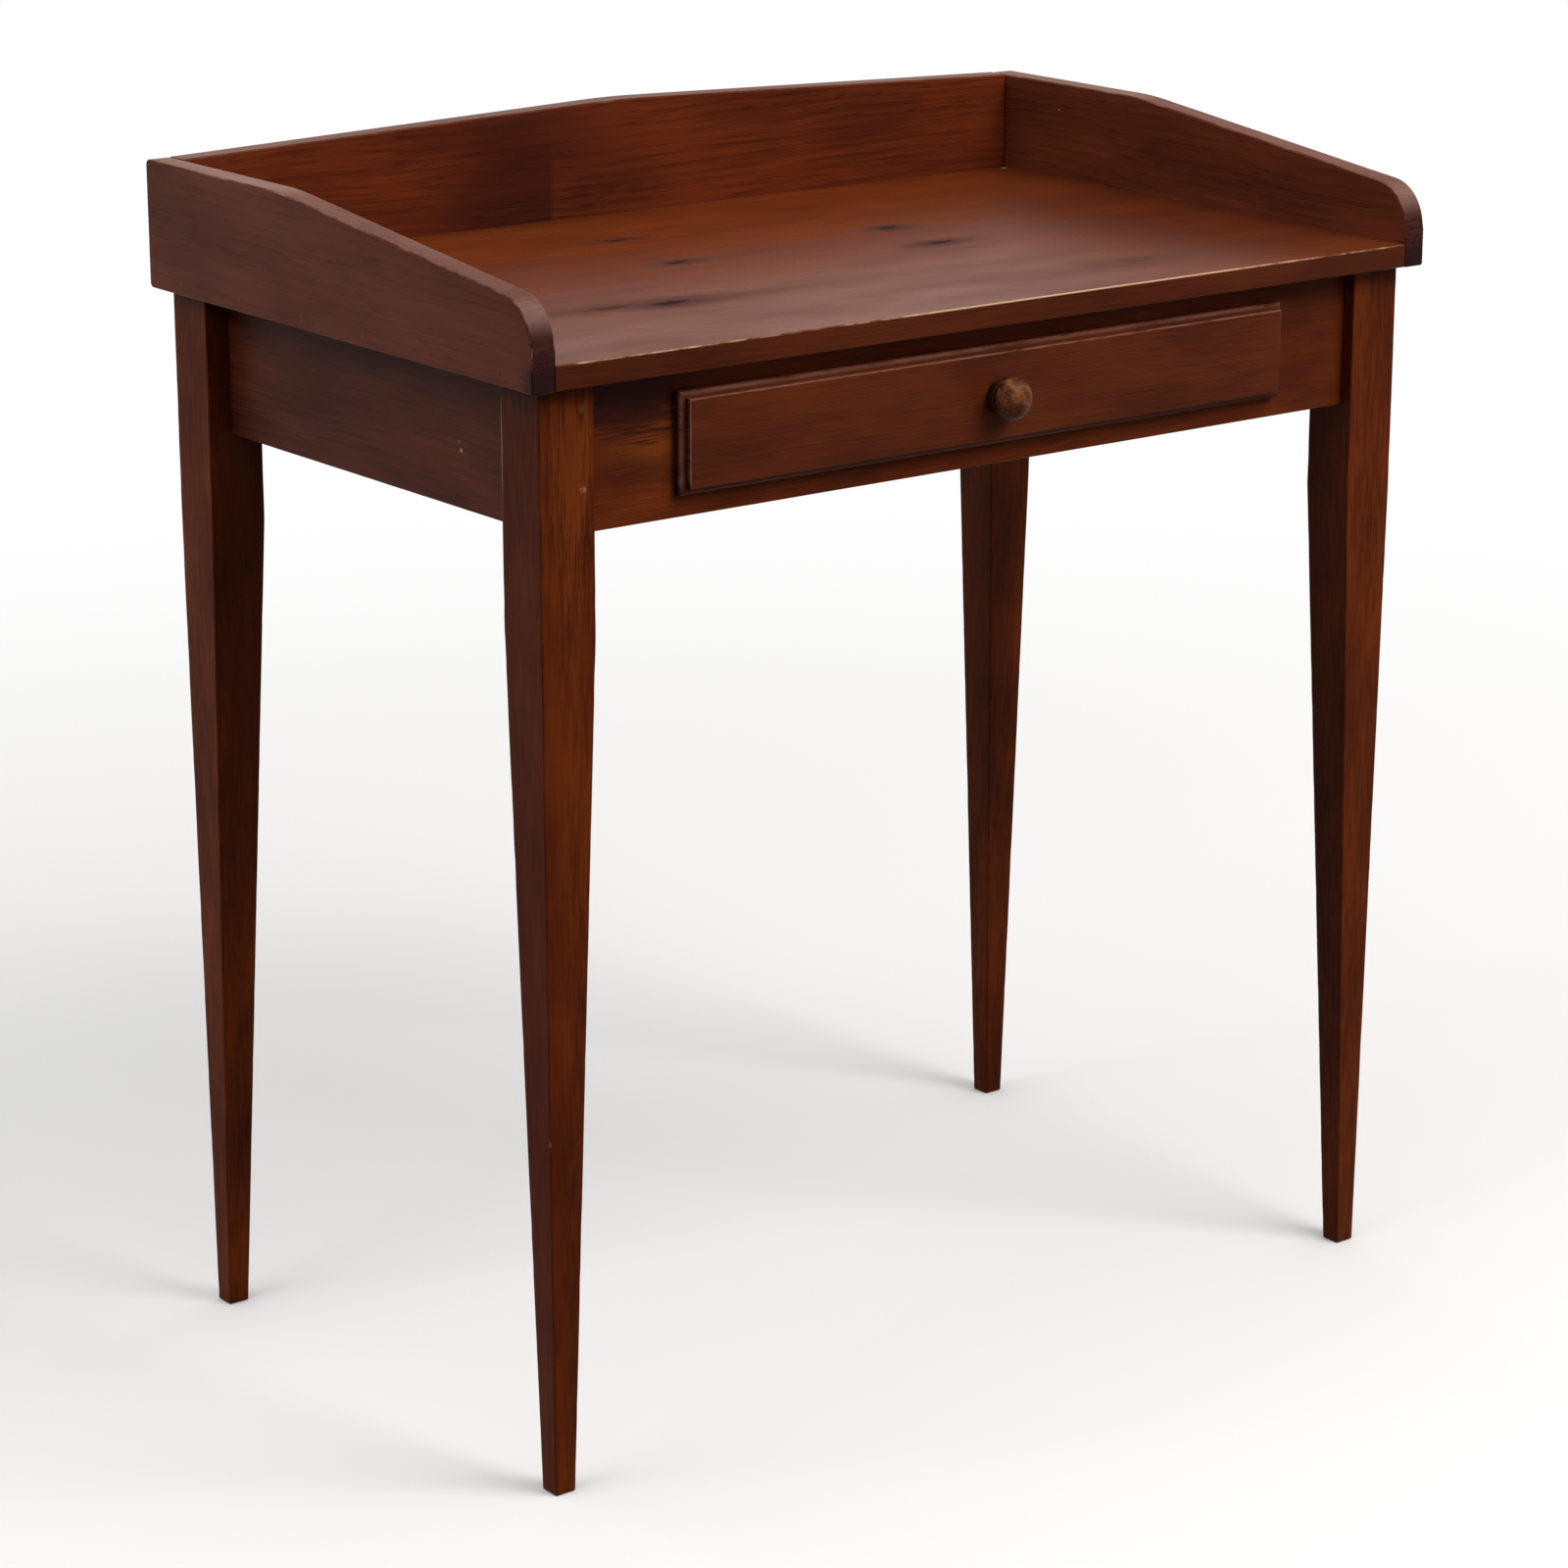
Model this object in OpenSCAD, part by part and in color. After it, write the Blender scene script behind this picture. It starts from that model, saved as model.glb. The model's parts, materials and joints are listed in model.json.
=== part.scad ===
// Writing desk: four tapered legs, a gallery round three sides of the top, one lipped drawer.
// Millimetres, +Z up, +X to the right, the front of the desk faces -Y. The origin is on the floor,
// under the middle of the whole desk with its knob.

/* [Desk] */
// Width over the two side boards
desk_w = 768; // [700:1:1000]
// Depth of the top, front edge to back edge
top_d = 457; // [400:1:600]
// Height of the writing surface above the floor
surface_h = 762; // [700:1:800]
// Thickness of the top board
top_t = 16.5; // [14:0.5:25]
// How far the top runs out in front of the front legs
overhang_front = 12; // [4:0.5:30]
// How far the top runs out behind the back legs
overhang_back = 8; // [4:0.5:30]
// How far the side boards stand out beyond the legs
overhang_side = 13; // [6:0.5:16]

/* [Gallery] */
// Thickness of the side boards
side_t = 18; // [14:0.5:25]
// Height of a side board's level part above the writing surface
side_rise = 71.5; // [55:0.5:120]
// Height that a side board's slope would reach at the front edge
side_front_rise = 39.3; // [34:0.1:50]
// Length of a side board's level part
side_level = 168; // [100:1:220]
// Radius of the soft bend between level and slope
side_bend_r = 260; // [50:5:400]
// Radius of a side board's front corner
side_nose_r = 32; // [10:1:36]
// Thickness of the back board
back_t = 18; // [14:0.5:25]
// Height of the back board's peak above the writing surface
back_peak = 82.8; // [76:0.1:90]
// Radius that softens the peak
back_peak_r = 800; // [100:50:1500]
// Depth of the rebate in the top that the back board stands in
back_rebate = 3; // [1:0.5:5]

/* [Legs] */
// Width of a leg at the top, both ways
leg = 42; // [38:0.5:60]
// Width of a leg at the foot
foot = 16; // [12:0.5:30]
// How far a leg's outer faces run in at the foot
leg_outer_taper = 4.2; // [0:0.1:8]
// Depth below the top board at which the taper starts
taper_drop = 160.5; // [130:0.5:250]
// Chamfer round the foot
foot_chamfer = 1.2; // [0.5:0.1:3]

/* [Aprons] */
// Height of the rail and the aprons
apron_h = 98; // [92:1:120]
// Thickness of the rail and the aprons
apron_t = 18; // [16:0.5:20]
// Setback of the front rail and the back apron from the legs' outer faces
rail_inset = 10; // [2:0.5:14]
// Setback of the side aprons from the legs' outer faces
apron_inset = 17.5; // [10:0.5:18]
// Thickness of the tenons
tenon_t = 8; // [6:0.5:10]
// Shoulder above and below a tenon
tenon_shoulder = 8; // [4:0.5:12]
// Length of the tenons on the front rail and the back apron
rail_tenon = 24; // [18:0.5:26]
// Wood left in a leg between its two tenons
tenon_space = 3; // [2:0.5:6]
// Diameter of a draw-bore peg
peg_d = 6; // [4:0.5:8]
// How far a peg runs on past the tenon
peg_past = 2; // [0.5:0.5:2.5]
// Distance of a peg from the leg's inner edge
peg_edge = 9.3; // [7:0.1:12]
// Depth of the upper peg below the top of the leg
peg_upper = 16; // [13:0.5:25]
// Depth of the lower peg below the top of the leg
peg_lower = 67; // [50:0.5:78]

/* [Drawer front] */
// Width of the drawer front over its lip
lip_w = 522; // [400:1:560]
// Height of the drawer front over its lip
lip_h = 67.5; // [60:0.5:76]
// How far the lip covers the rail round the opening
lip_cover = 6; // [4:0.5:9]
// How far the flat field stands in front of the rail
field_stand = 12; // [10:0.5:16]
// Width of the rounded edge round the field
bead_w = 4.5; // [3:0.1:7]
// Height of the bead, which lies on the square edge of the lip
bead_h = 3; // [2:0.1:4]
// Height of the step from the bead to the field
step_h = 4; // [1:0.1:5]
// Thickness of the front behind the lip
block_t = 10; // [9:0.5:14]

/* [Knob] */
// Diameter of the knob's head
knob_d = 29; // [24:0.5:40]
// Length of the knob
knob_l = 24; // [22:0.5:35]
// Distance from the knob's foot to its widest place
knob_wide = 15.5; // [12:0.5:17]
// Diameter of the collar at the knob's foot
collar_d = 25.5; // [22:0.5:34]
// Thickness of the collar
collar_t = 5; // [3:0.5:6]
// Diameter of the groove behind the head
groove_d = 18.5; // [14:0.5:20]
// Length of the groove
groove_l = 2.5; // [1:0.5:4]
// Length of the screw that holds the knob
knob_screw_l = 38; // [30:1:40]

/* [Drawer box] */
// Length of the drawer behind its lip
drawer_l = 385; // [300:1:390]
// Thickness of the drawer's sides and back
box_t = 11; // [9:0.5:14]
// Thickness of the drawer's bottom
bottom_t = 6; // [4:0.5:8]
// Height of the bottom's groove above the lower edge
bottom_up = 5; // [4:0.5:8]
// Depth of the bottom's groove
bottom_groove = 5; // [3:0.5:6]
// How far the drawer's back is lower than its sides
back_drop = 4; // [2:0.5:8]
// Length of the lapped dovetails in the front
lap_tail_l = 8; // [6:0.5:9]
// Width of a lapped dovetail at its root
lap_tail_w = 14; // [10:0.5:16]
// Width of a through dovetail at its root
back_tail_w = 9; // [6:0.5:10]
// Rise of a dovetail's slope, one in this number
tail_slope = 6; // [5:0.5:9]

/* [Runners] */
// Width of a runner and a kicker
runner_w = 31; // [26:1:45]
// How far a runner reaches in under the drawer side
runner_reach = 11; // [8:0.5:16]
// Thickness of a runner
runner_t = 20; // [16:0.5:22]
// Height of a guide above its runner
guide_h = 18; // [10:1:30]
// Length of the stub tenons that hold runners and kickers
stub_l = 8; // [5:0.5:12]
// Width of the stub tenons
stub_w = 20; // [12:0.5:24]
// Thickness of the stub tenons
stub_t = 10; // [6:0.5:12]

/* [Fixings] */
// Length of a top button without its tongue
button_l = 30; // [24:1:40]
// Width of a top button
button_w = 24; // [18:1:30]
// Thickness of a top button
button_t = 16; // [14:0.5:18]
// Length of a button's tongue
tongue_l = 6; // [4:0.5:8]
// Thickness of a button's tongue
tongue_t = 6; // [4:0.5:8]
// Room along the apron for a button to move
button_play = 4; // [2:0.5:8]
// Room between a button's end and a kicker beside it
button_room = 1; // [0.5:0.5:3]
// Distance of the front and back buttons from the middle of the desk
button_place = 110; // [80:5:200]
// Distance of the side buttons from the legs
button_leg = 66.5; // [40:0.5:100]
// Diameter of a wood screw's shank
screw_d = 4; // [3:0.5:5]
// Diameter of a wood screw's head
screw_head = 8; // [6.5:0.5:10]
// Length of a top button's screw
button_screw_l = 27; // [22:1:29]
// Length of a back board screw
back_screw_l = 45; // [35:1:60]
// Distance between back board screws
back_screw_pitch = 250; // [150:5:300]
// Diameter of a side board nail
nail_d = 2.5; // [2:0.1:3.5]
// Diameter of a side board nail's head
nail_head = 5; // [4:0.1:6]
// Length of a side board nail
nail_l = 50; // [35:1:60]
// Depth to which a side board nail is punched in
nail_punch = 1.5; // [0.5:0.1:3]
// Distance of the first side board nail from the front edge
nail_first = 35; // [25:1:60]
// Distance between side board nails
nail_pitch = 76; // [50:1:100]
// Number of nails from a side board into the top
nail_count = 6; // [3:1:6]
// Height of the lower nail into the back board above the surface
back_nail_low = 18; // [12:1:25]
// Distance between the two nails into the back board
back_nail_pitch = 36; // [20:1:40]
// Diameter of a drawer bottom nail
pin_d = 1.8; // [1.4:0.1:2.2]
// Length of a drawer bottom nail
pin_l = 22; // [16:1:28]
// Distance between drawer bottom nails
pin_pitch = 190; // [120:5:220]

/* [Clearances] */
// Clearance in glued, pegged and screwed joints
joint_gap = 0.1; // [0.05:0.05:0.2]
// Gap between the closed drawer's lip and the rail
lip_gap = 0.5; // [0.3:0.1:1]
// Running gap on each side of the drawer
run_side = 1; // [0.5:0.1:2]
// Running gap over the drawer
run_top = 1.5; // [0.5:0.1:3]
// Running gap under the drawer
run_under = 0.3; // [0.2:0.1:0.5]

/* [Hidden] */

$fn = 48;
eps = 0.01;
arc_steps = 16;

// Colours
pine_dark = "#5a2413";
pine_top = "#70361f";
pine_leg = "#55200f";
pine_side = "#4c2a1e";
pine_raw = "#b98a55";
peg_tone = "#8a5a44";
steel = "#7d7f82";

// Heights
leg_h = surface_h - top_t;
taper_z = leg_h - taper_drop;
apron_z = leg_h - apron_h;

// The desk in plan
inner_w = desk_w - 2 * side_t;
frame_w = desk_w - 2 * overhang_side;
frame_d = top_d - overhang_front - overhang_back;
knob_reach = knob_l + field_stand - rail_inset - overhang_front;
front_y = -(top_d + knob_reach) / 2 + knob_reach;
back_y = front_y + top_d;
leg_front_y = front_y + overhang_front;
leg_back_y = leg_front_y + frame_d;
middle_y = (leg_front_y + leg_back_y) / 2;
rail_y = leg_front_y + rail_inset;
back_apron_y = leg_back_y - rail_inset - apron_t;
side_apron_x = frame_w / 2 - apron_inset - apron_t;
rail_inner_y = rail_y + apron_t;
between_y = back_apron_y - rail_inner_y;
tenon_set = (apron_t - tenon_t) / 2;
tenon_end = rail_inset + tenon_set + tenon_t;
side_tenon = leg - tenon_end - tenon_space;

// The drawer and its opening
open_w = lip_w - 2 * lip_cover;
open_h = lip_h - 2 * lip_cover;
open_z = apron_z + (apron_h - open_h) / 2;
open_top = open_z + open_h;
kicker_t = leg_h - open_top;
box_w = open_w - 2 * run_side;
box_h = open_h - run_under - run_top;
box_z = open_z + run_under;
lip_y = rail_y - lip_gap;
field_y = rail_y - field_stand;
box_front_y = lip_y + block_t;
box_back_y = lip_y + drawer_l;
edge_h = field_stand - lip_gap - bead_h - step_h;
panel_z = box_z + bottom_up + joint_gap;
panel_top = panel_z + bottom_t;
knob_z = open_z + open_h / 2;
runner_x = open_w / 2 - runner_reach;
drawer_back_h = box_z + box_h - back_drop - panel_top - joint_gap;

// A run of points round a centre
function arc(cx, cy, r, from, to, n = arc_steps) =
    [for (i = [0 : n]) let (a = from + (to - from) * i / n) [cx + r * cos(a), cy + r * sin(a)]];

// Box by its corner and size, which reads shorter than translate and cube
module block(at, size) {
    translate(at) cube(size);
}

// An XZ outline run along Y, and a YZ outline run along X
module along_y(y, length) {
    translate([0, y + length, 0]) rotate([90, 0, 0]) linear_extrude(length) children();
}
module along_x(x, length) {
    translate([x, 0, 0]) rotate([90, 0, 90]) linear_extrude(length) children();
}

// Copies for the right-hand side
module both_sides() {
    children();
    mirror([1, 0, 0]) children();
}

// Countersunk screw pointing up, its head's face at z = 0
module screw(length, d = screw_d, head = screw_head, gap = 0) {
    tip = d;
    sink = (head - d) / 2;
    rotate_extrude()
        polygon([[0, -gap], [head / 2 + gap, -gap], [head / 2 + gap, 0], [d / 2 + gap, sink],
                 [d / 2 + gap, length - tip], [0, length + gap]]);
}

// Flat-headed nail pointing up, its head's face at z = 0; its hole opens below by the depth of the punch
module nail(length, d, head, gap = 0, punch = 0) {
    thick = d / 2;
    translate([0, 0, -punch - gap]) cylinder(d = head + 2 * gap, h = punch + thick + 2 * gap);
    cylinder(d = d + 2 * gap, h = length + gap);
}

/* The top and its gallery */

// Outline of a side board, front edge at 0, underside at 0
module side_board_outline() {
    run = top_d - side_level;
    slope = (side_rise - side_front_rise) / run;
    lean = atan(slope);
    start = top_t + side_front_rise;
    nose_z = start + slope * side_nose_r - side_nose_r * sqrt(1 + slope * slope);
    level_z = top_t + side_rise;
    bend = side_bend_r * tan(lean / 2);
    polygon(concat([[0, 0], [top_d, 0], [top_d, level_z]],
                   arc(run + bend, level_z - side_bend_r, side_bend_r, 90, 90 + lean, 6),
                   arc(side_nose_r, nose_z, side_nose_r, 90 + lean, 180)));
}

// Everything driven through the left side board: nails into the top and into the back board
module side_nails(gap = 0, punch = 0) {
    at_x = -desk_w / 2 + nail_punch;
    for (i = [0 : nail_count - 1])
        translate([at_x, front_y + nail_first + i * nail_pitch, leg_h + top_t / 2])
            rotate([0, 90, 0]) nail(nail_l, nail_d, nail_head, gap, punch);
    for (i = [0, 1])
        translate([at_x, back_y - back_t / 2, surface_h + back_nail_low + i * back_nail_pitch])
            rotate([0, 90, 0]) nail(nail_l, nail_d, nail_head, gap, punch);
}

module side_board() {
    color(pine_side)
    difference() {
        translate([0, front_y, leg_h])
            along_x(-desk_w / 2, side_t) side_board_outline();
        side_nails(joint_gap, nail_punch);
    }
}

module side_board_left() {
    side_board();
}

module side_board_right() {
    mirror([1, 0, 0]) side_board();
}

module side_board_nails() {
    color(steel) both_sides() side_nails();
}

module back_screws(gap = 0) {
    for (i = [-1 : 1])
        translate([i * back_screw_pitch, back_y - back_t / 2, leg_h])
            screw(back_screw_l, gap = gap);
}

module back_board_screws() {
    color(steel) back_screws();
}

module back_board() {
    half = inner_w / 2;
    lean = atan((back_peak - side_rise) / half);
    peak_z = back_peak - back_peak_r / cos(lean);
    color(pine_dark)
    difference() {
        translate([0, 0, surface_h])
            along_y(back_y - back_t, back_t)
                polygon(concat([[-half, -back_rebate], [half, -back_rebate], [half, side_rise]],
                               arc(0, peak_z, back_peak_r, 90 - lean, 90 + lean),
                               [[-half, side_rise]]));
        back_screws(joint_gap);
        both_sides() side_nails(joint_gap);
    }
}

module table_top() {
    color(pine_top)
    difference() {
        block([-inner_w / 2, front_y, leg_h], [inner_w, top_d, top_t]);
        block([-inner_w / 2 - 1, back_y - back_t - joint_gap, surface_h - back_rebate],
              [inner_w + 2, back_t + joint_gap + 1, back_rebate + 1]);
        both_sides() side_nails(joint_gap);
        back_screws(joint_gap);
        button_screws(joint_gap);
    }
}

/* Buttons that hold the top down */

// One button: its tongue points to -Y, its upper face is at z = 0
module button_shape() {
    difference() {
        union() {
            block([-button_w / 2, 0, -button_t], [button_w, button_l, button_t]);
            block([-button_w / 2, -tongue_l, -button_t], [button_w, tongue_l + eps, tongue_t]);
        }
        translate([0, button_l / 2, -button_t]) screw(button_screw_l, gap = joint_gap);
    }
}

// The pocket in the apron for a button's tongue
module button_pocket_shape() {
    wide = button_w + button_play;
    block([-wide / 2, -tongue_l - 2 * joint_gap, -button_t - joint_gap],
          [wide, tongue_l + 2 * joint_gap + eps, tongue_t + 2 * joint_gap]);
}

// The room that a kicker leaves round a button that reaches it
module button_room_shape() {
    wide = button_w + button_play;
    block([-wide / 2, 0, -button_t - button_room],
          [wide, button_l + button_room, button_t + 2 * button_room]);
}

// Two places on each of the four aprons; each child's -Y side meets the apron's inner face
module button_places() {
    along = frame_d / 2 - leg - button_leg;
    for (s = [-1, 1]) {
        translate([s * button_place, rail_inner_y, leg_h]) children();
        translate([s * button_place, back_apron_y, leg_h]) rotate(180) children();
        translate([-side_apron_x, middle_y + s * along, leg_h]) rotate(-90) children();
        translate([side_apron_x, middle_y + s * along, leg_h]) rotate(90) children();
    }
}

module button_screws(gap = 0) {
    button_places() translate([0, joint_gap + button_l / 2, -button_t]) screw(button_screw_l, gap = gap);
}

module top_buttons() {
    color(pine_raw) button_places() translate([0, joint_gap, 0]) button_shape();
}

module top_button_screws() {
    color(steel) button_screws();
}

/* Legs, rails and pegs */

// Outline of a leg, which is the same from the front and from the side
module leg_outline() {
    a = leg_outer_taper;
    b = leg_outer_taper + foot;
    polygon([[a + foot_chamfer, 0], [b - foot_chamfer, 0], [b, foot_chamfer], [leg, taper_z],
             [leg, leg_h], [0, leg_h], [0, taper_z], [a, foot_chamfer]]);
}

// Tenon of a rail or apron that ends in the front left leg, in the leg's own corner
module rail_tenon_shape(gap = 0) {
    block([leg - rail_tenon - gap, rail_inset + tenon_set - gap, apron_z + tenon_shoulder - gap],
          [rail_tenon + gap + eps, tenon_t + 2 * gap, apron_h - 2 * tenon_shoulder + 2 * gap]);
}
module side_tenon_shape(gap = 0) {
    block([apron_inset + tenon_set - gap, leg - side_tenon - gap, apron_z + tenon_shoulder - gap],
          [tenon_t + 2 * gap, side_tenon + gap + eps, apron_h - 2 * tenon_shoulder + 2 * gap]);
}

// The two pegs through a rail's tenon
module peg_pair(gap = 0) {
    for (drop = [peg_upper, peg_lower])
        translate([leg - peg_edge, -gap, leg_h - drop])
            rotate([-90, 0, 0]) cylinder(d = peg_d + 2 * gap, h = tenon_end + peg_past + 2 * gap);
}

// Puts a shape made in the leg's own corner at the left or right, front or back
module at_corner(side, end) {
    translate([0, middle_y, 0])
        mirror([side > 0 ? 1 : 0, 0, 0])
            mirror([0, end > 0 ? 1 : 0, 0])
                translate([-frame_w / 2, -frame_d / 2, 0]) children();
}

module leg_at(side, end) {
    color(pine_leg)
    at_corner(side, end)
        difference() {
            intersection() {
                along_y(0, leg) leg_outline();
                along_x(0, leg) leg_outline();
            }
            rail_tenon_shape(joint_gap);
            side_tenon_shape(joint_gap);
            peg_pair(joint_gap);
        }
}

module leg_front_left() {
    leg_at(-1, -1);
}
module leg_front_right() {
    leg_at(1, -1);
}
module leg_back_left() {
    leg_at(-1, 1);
}
module leg_back_right() {
    leg_at(1, 1);
}

module rail_pegs() {
    color(peg_tone)
    for (side = [-1, 1], end = [-1, 1]) at_corner(side, end) peg_pair();
}

// A board between the legs with a tenon at each end, at the front or the back
module cross_board(end) {
    y = end < 0 ? rail_y : back_apron_y;
    difference() {
        union() {
            block([-frame_w / 2 + leg, y, apron_z], [frame_w - 2 * leg, apron_t, apron_h]);
            for (side = [-1, 1]) at_corner(side, end) rail_tenon_shape();
        }
        for (side = [-1, 1]) at_corner(side, end) peg_pair(joint_gap);
        button_places() button_pocket_shape();
        both_sides() {
            stubs(open_z - runner_t, runner_t, joint_gap);
            stubs(open_top, kicker_t, joint_gap);
        }
    }
}

module front_rail() {
    color(pine_dark)
    difference() {
        cross_board(-1);
        block([-open_w / 2, rail_y - 1, open_z], [open_w, apron_t + 2, open_h]);
    }
}

module back_apron() {
    color(pine_dark) cross_board(1);
}

module side_apron() {
    color(pine_side)
    difference() {
        union() {
            block([-frame_w / 2 + apron_inset, leg_front_y + leg, apron_z],
                  [apron_t, frame_d - 2 * leg, apron_h]);
            for (end = [-1, 1]) at_corner(-1, end) side_tenon_shape();
        }
        button_places() button_pocket_shape();
    }
}

module side_apron_left() {
    side_apron();
}
module side_apron_right() {
    mirror([1, 0, 0]) side_apron();
}

/* Runners, guides and kickers, made on the right and mirrored */

// Stub tenons at both ends of a bar between the rail and the back apron
module stubs(z, height, gap = 0) {
    block([runner_x + (runner_w - stub_w) / 2 - gap, rail_inner_y - stub_l - gap,
           z + (height - stub_t) / 2 - gap],
          [stub_w + 2 * gap, between_y + 2 * stub_l + 2 * gap, stub_t + 2 * gap]);
}

module runner() {
    color(pine_raw)
    union() {
        block([runner_x, rail_inner_y, open_z - runner_t], [runner_w, between_y, runner_t]);
        stubs(open_z - runner_t, runner_t);
    }
}

module guide() {
    color(pine_raw)
        block([open_w / 2, rail_inner_y, open_z],
              [runner_w - runner_reach, between_y, guide_h]);
}

module kicker() {
    color(pine_raw)
    difference() {
        union() {
            block([runner_x, rail_inner_y, open_top], [runner_w, between_y, kicker_t]);
            stubs(open_top, kicker_t);
        }
        button_places() button_room_shape();
    }
}

module drawer_runner_left() {
    mirror([1, 0, 0]) runner();
}
module drawer_runner_right() {
    runner();
}
module drawer_guide_left() {
    mirror([1, 0, 0]) guide();
}
module drawer_guide_right() {
    guide();
}
module drawer_kicker_left() {
    mirror([1, 0, 0]) kicker();
}
module drawer_kicker_right() {
    kicker();
}

/* The drawer */

// Half outline of the drawer front from its lip's back to the field: square edge, bead, step, field
module lip_outline(width) {
    half = width / 2;
    field = half - bead_w;
    bead_z = edge_h + bead_h;
    r = (bead_w * bead_w + bead_h * bead_h) / (2 * bead_h);
    sweep = asin(min(1, bead_w / r));
    polygon(concat([[-half, 0], [half, 0]],
                   arc(field, bead_z - r, r, 90 - sweep, 90, 8),
                   [[field, field_stand - lip_gap], [-field, field_stand - lip_gap]],
                   arc(-field, bead_z - r, r, 90, 90 + sweep, 8)));
}

// Lip and field together: the overlap of the outline run both ways gives mitred corners
module moulded_front() {
    translate([0, lip_y, knob_z])
        rotate([90, 0, 0])
            intersection() {
                translate([0, lip_h / 2, 0]) rotate([90, 0, 0]) linear_extrude(lip_h) lip_outline(lip_w);
                translate([-lip_w / 2, 0, 0]) rotate([90, 0, 90]) linear_extrude(lip_w) lip_outline(lip_h);
            }
}

// Dovetail in the YZ plane that points to -Y. Its root, at y = 0, reaches back into its own board
module tail(length, root, gap = 0) {
    spread = length / tail_slope;
    into = 3 * joint_gap;
    polygon([[into, -root / 2 - gap], [into, root / 2 + gap], [0, root / 2 + gap],
             [-length - gap, root / 2 + spread + gap], [-length - gap, -root / 2 - spread - gap],
             [0, -root / 2 - gap]]);
}

// Lapped tails of the right side, two up the height of the box
module lap_tails(gap = 0) {
    for (i = [1, 3])
        translate([0, box_front_y, box_z + box_h * i / 4])
            along_x(box_w / 2 - box_t - gap, box_t + 2 * gap) tail(lap_tail_l, lap_tail_w, gap);
}

// Through tails of the right side at the back
module back_tails(gap = 0) {
    for (i = [1, 3])
        translate([0, box_back_y - box_t, panel_top + joint_gap + drawer_back_h * i / 4])
            mirror([0, 1, 0])
                along_x(box_w / 2 - box_t - gap, box_t + 2 * gap) tail(box_t, back_tail_w, gap);
}

// Groove for the bottom, cut in the front and the sides
module bottom_slot() {
    wide = box_w - 2 * box_t + 2 * bottom_groove;
    block([-wide / 2, box_front_y - bottom_groove, box_z + bottom_up],
          [wide, drawer_l, bottom_t + 2 * joint_gap]);
}

module knob_fixing(gap = 0) {
    translate([0, box_front_y, knob_z]) rotate([90, 0, 0]) screw(knob_screw_l, gap = gap);
}

module drawer_front() {
    color(pine_dark)
    difference() {
        union() {
            moulded_front();
            block([-box_w / 2, lip_y - eps, box_z], [box_w, block_t + eps, box_h]);
        }
        both_sides() lap_tails(joint_gap);
        bottom_slot();
        knob_fixing(joint_gap);
    }
}

module drawer_side() {
    color(pine_raw)
    difference() {
        union() {
            block([box_w / 2 - box_t, box_front_y + joint_gap, box_z],
                  [box_t, box_back_y - box_front_y - joint_gap, box_h]);
            lap_tails();
        }
        bottom_slot();
        difference() {
            block([box_w / 2 - box_t - 1, box_back_y - box_t - joint_gap, panel_top],
                  [box_t + 2, box_t + joint_gap + 1, drawer_back_h + 2 * joint_gap]);
            back_tails();
        }
    }
}

module drawer_side_left() {
    mirror([1, 0, 0]) drawer_side();
}
module drawer_side_right() {
    drawer_side();
}

module drawer_back() {
    color(pine_raw)
    difference() {
        block([-box_w / 2, box_back_y - box_t, panel_top + joint_gap], [box_w, box_t, drawer_back_h]);
        both_sides() back_tails(joint_gap);
        bottom_pins(joint_gap);
    }
}

module drawer_bottom() {
    wide = box_w - 2 * box_t + 2 * bottom_groove - 4 * joint_gap;
    front = box_front_y - bottom_groove + 2 * joint_gap;
    color(pine_raw)
    difference() {
        block([-wide / 2, front, panel_z], [wide, box_back_y - front, bottom_t]);
        bottom_pins(joint_gap);
    }
}

module bottom_pins(gap = 0) {
    for (i = [-1 : 1])
        translate([i * pin_pitch, box_back_y - box_t / 2, panel_z]) nail(pin_l, pin_d, 2 * pin_d, gap);
}

module drawer_bottom_nails() {
    color(steel) bottom_pins();
}

// Outline of the turned knob from its foot up: half-round collar, groove, flare, domed head
module knob_outline() {
    groove_end = collar_t + groove_l;
    flare = (knob_d - groove_d) / 2;
    flare_h = knob_wide - groove_end;
    dome_h = knob_l - joint_gap - knob_wide;
    polygon(concat([[0, 0]],
                   arc(collar_d / 2 - collar_t / 2, collar_t / 2, collar_t / 2, -90, 90, 10),
                   [[groove_d / 2, collar_t]],
                   [for (a = [0 : 15 : 75]) [groove_d / 2 + flare * sin(a),
                                             groove_end + flare_h * (1 - cos(a))]],
                   [for (a = [0 : 10 : 90]) [knob_d / 2 * cos(a), knob_wide + dome_h * sin(a)]]));
}

module drawer_knob() {
    color(peg_tone)
    difference() {
        translate([0, field_y - joint_gap, knob_z])
            rotate([90, 0, 0]) rotate_extrude() knob_outline();
        knob_fixing(joint_gap);
    }
}

module knob_screw() {
    color(steel) knob_fixing();
}

table_top();
side_board_left();
side_board_right();
back_board();
leg_front_left();
leg_front_right();
leg_back_left();
leg_back_right();
front_rail();
back_apron();
side_apron_left();
side_apron_right();
rail_pegs();
drawer_runner_left();
drawer_runner_right();
drawer_guide_left();
drawer_guide_right();
drawer_kicker_left();
drawer_kicker_right();
top_buttons();
top_button_screws();
side_board_nails();
back_board_screws();
drawer_front();
drawer_side_left();
drawer_side_right();
drawer_back();
drawer_bottom();
drawer_bottom_nails();
drawer_knob();
knob_screw();
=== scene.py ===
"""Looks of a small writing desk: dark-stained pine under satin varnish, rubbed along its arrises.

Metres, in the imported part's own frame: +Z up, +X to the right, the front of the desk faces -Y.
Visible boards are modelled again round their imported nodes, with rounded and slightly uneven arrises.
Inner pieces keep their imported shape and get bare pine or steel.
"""

import json
import math

import bmesh
import bpy
from mathutils import Matrix, Vector, noise


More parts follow.
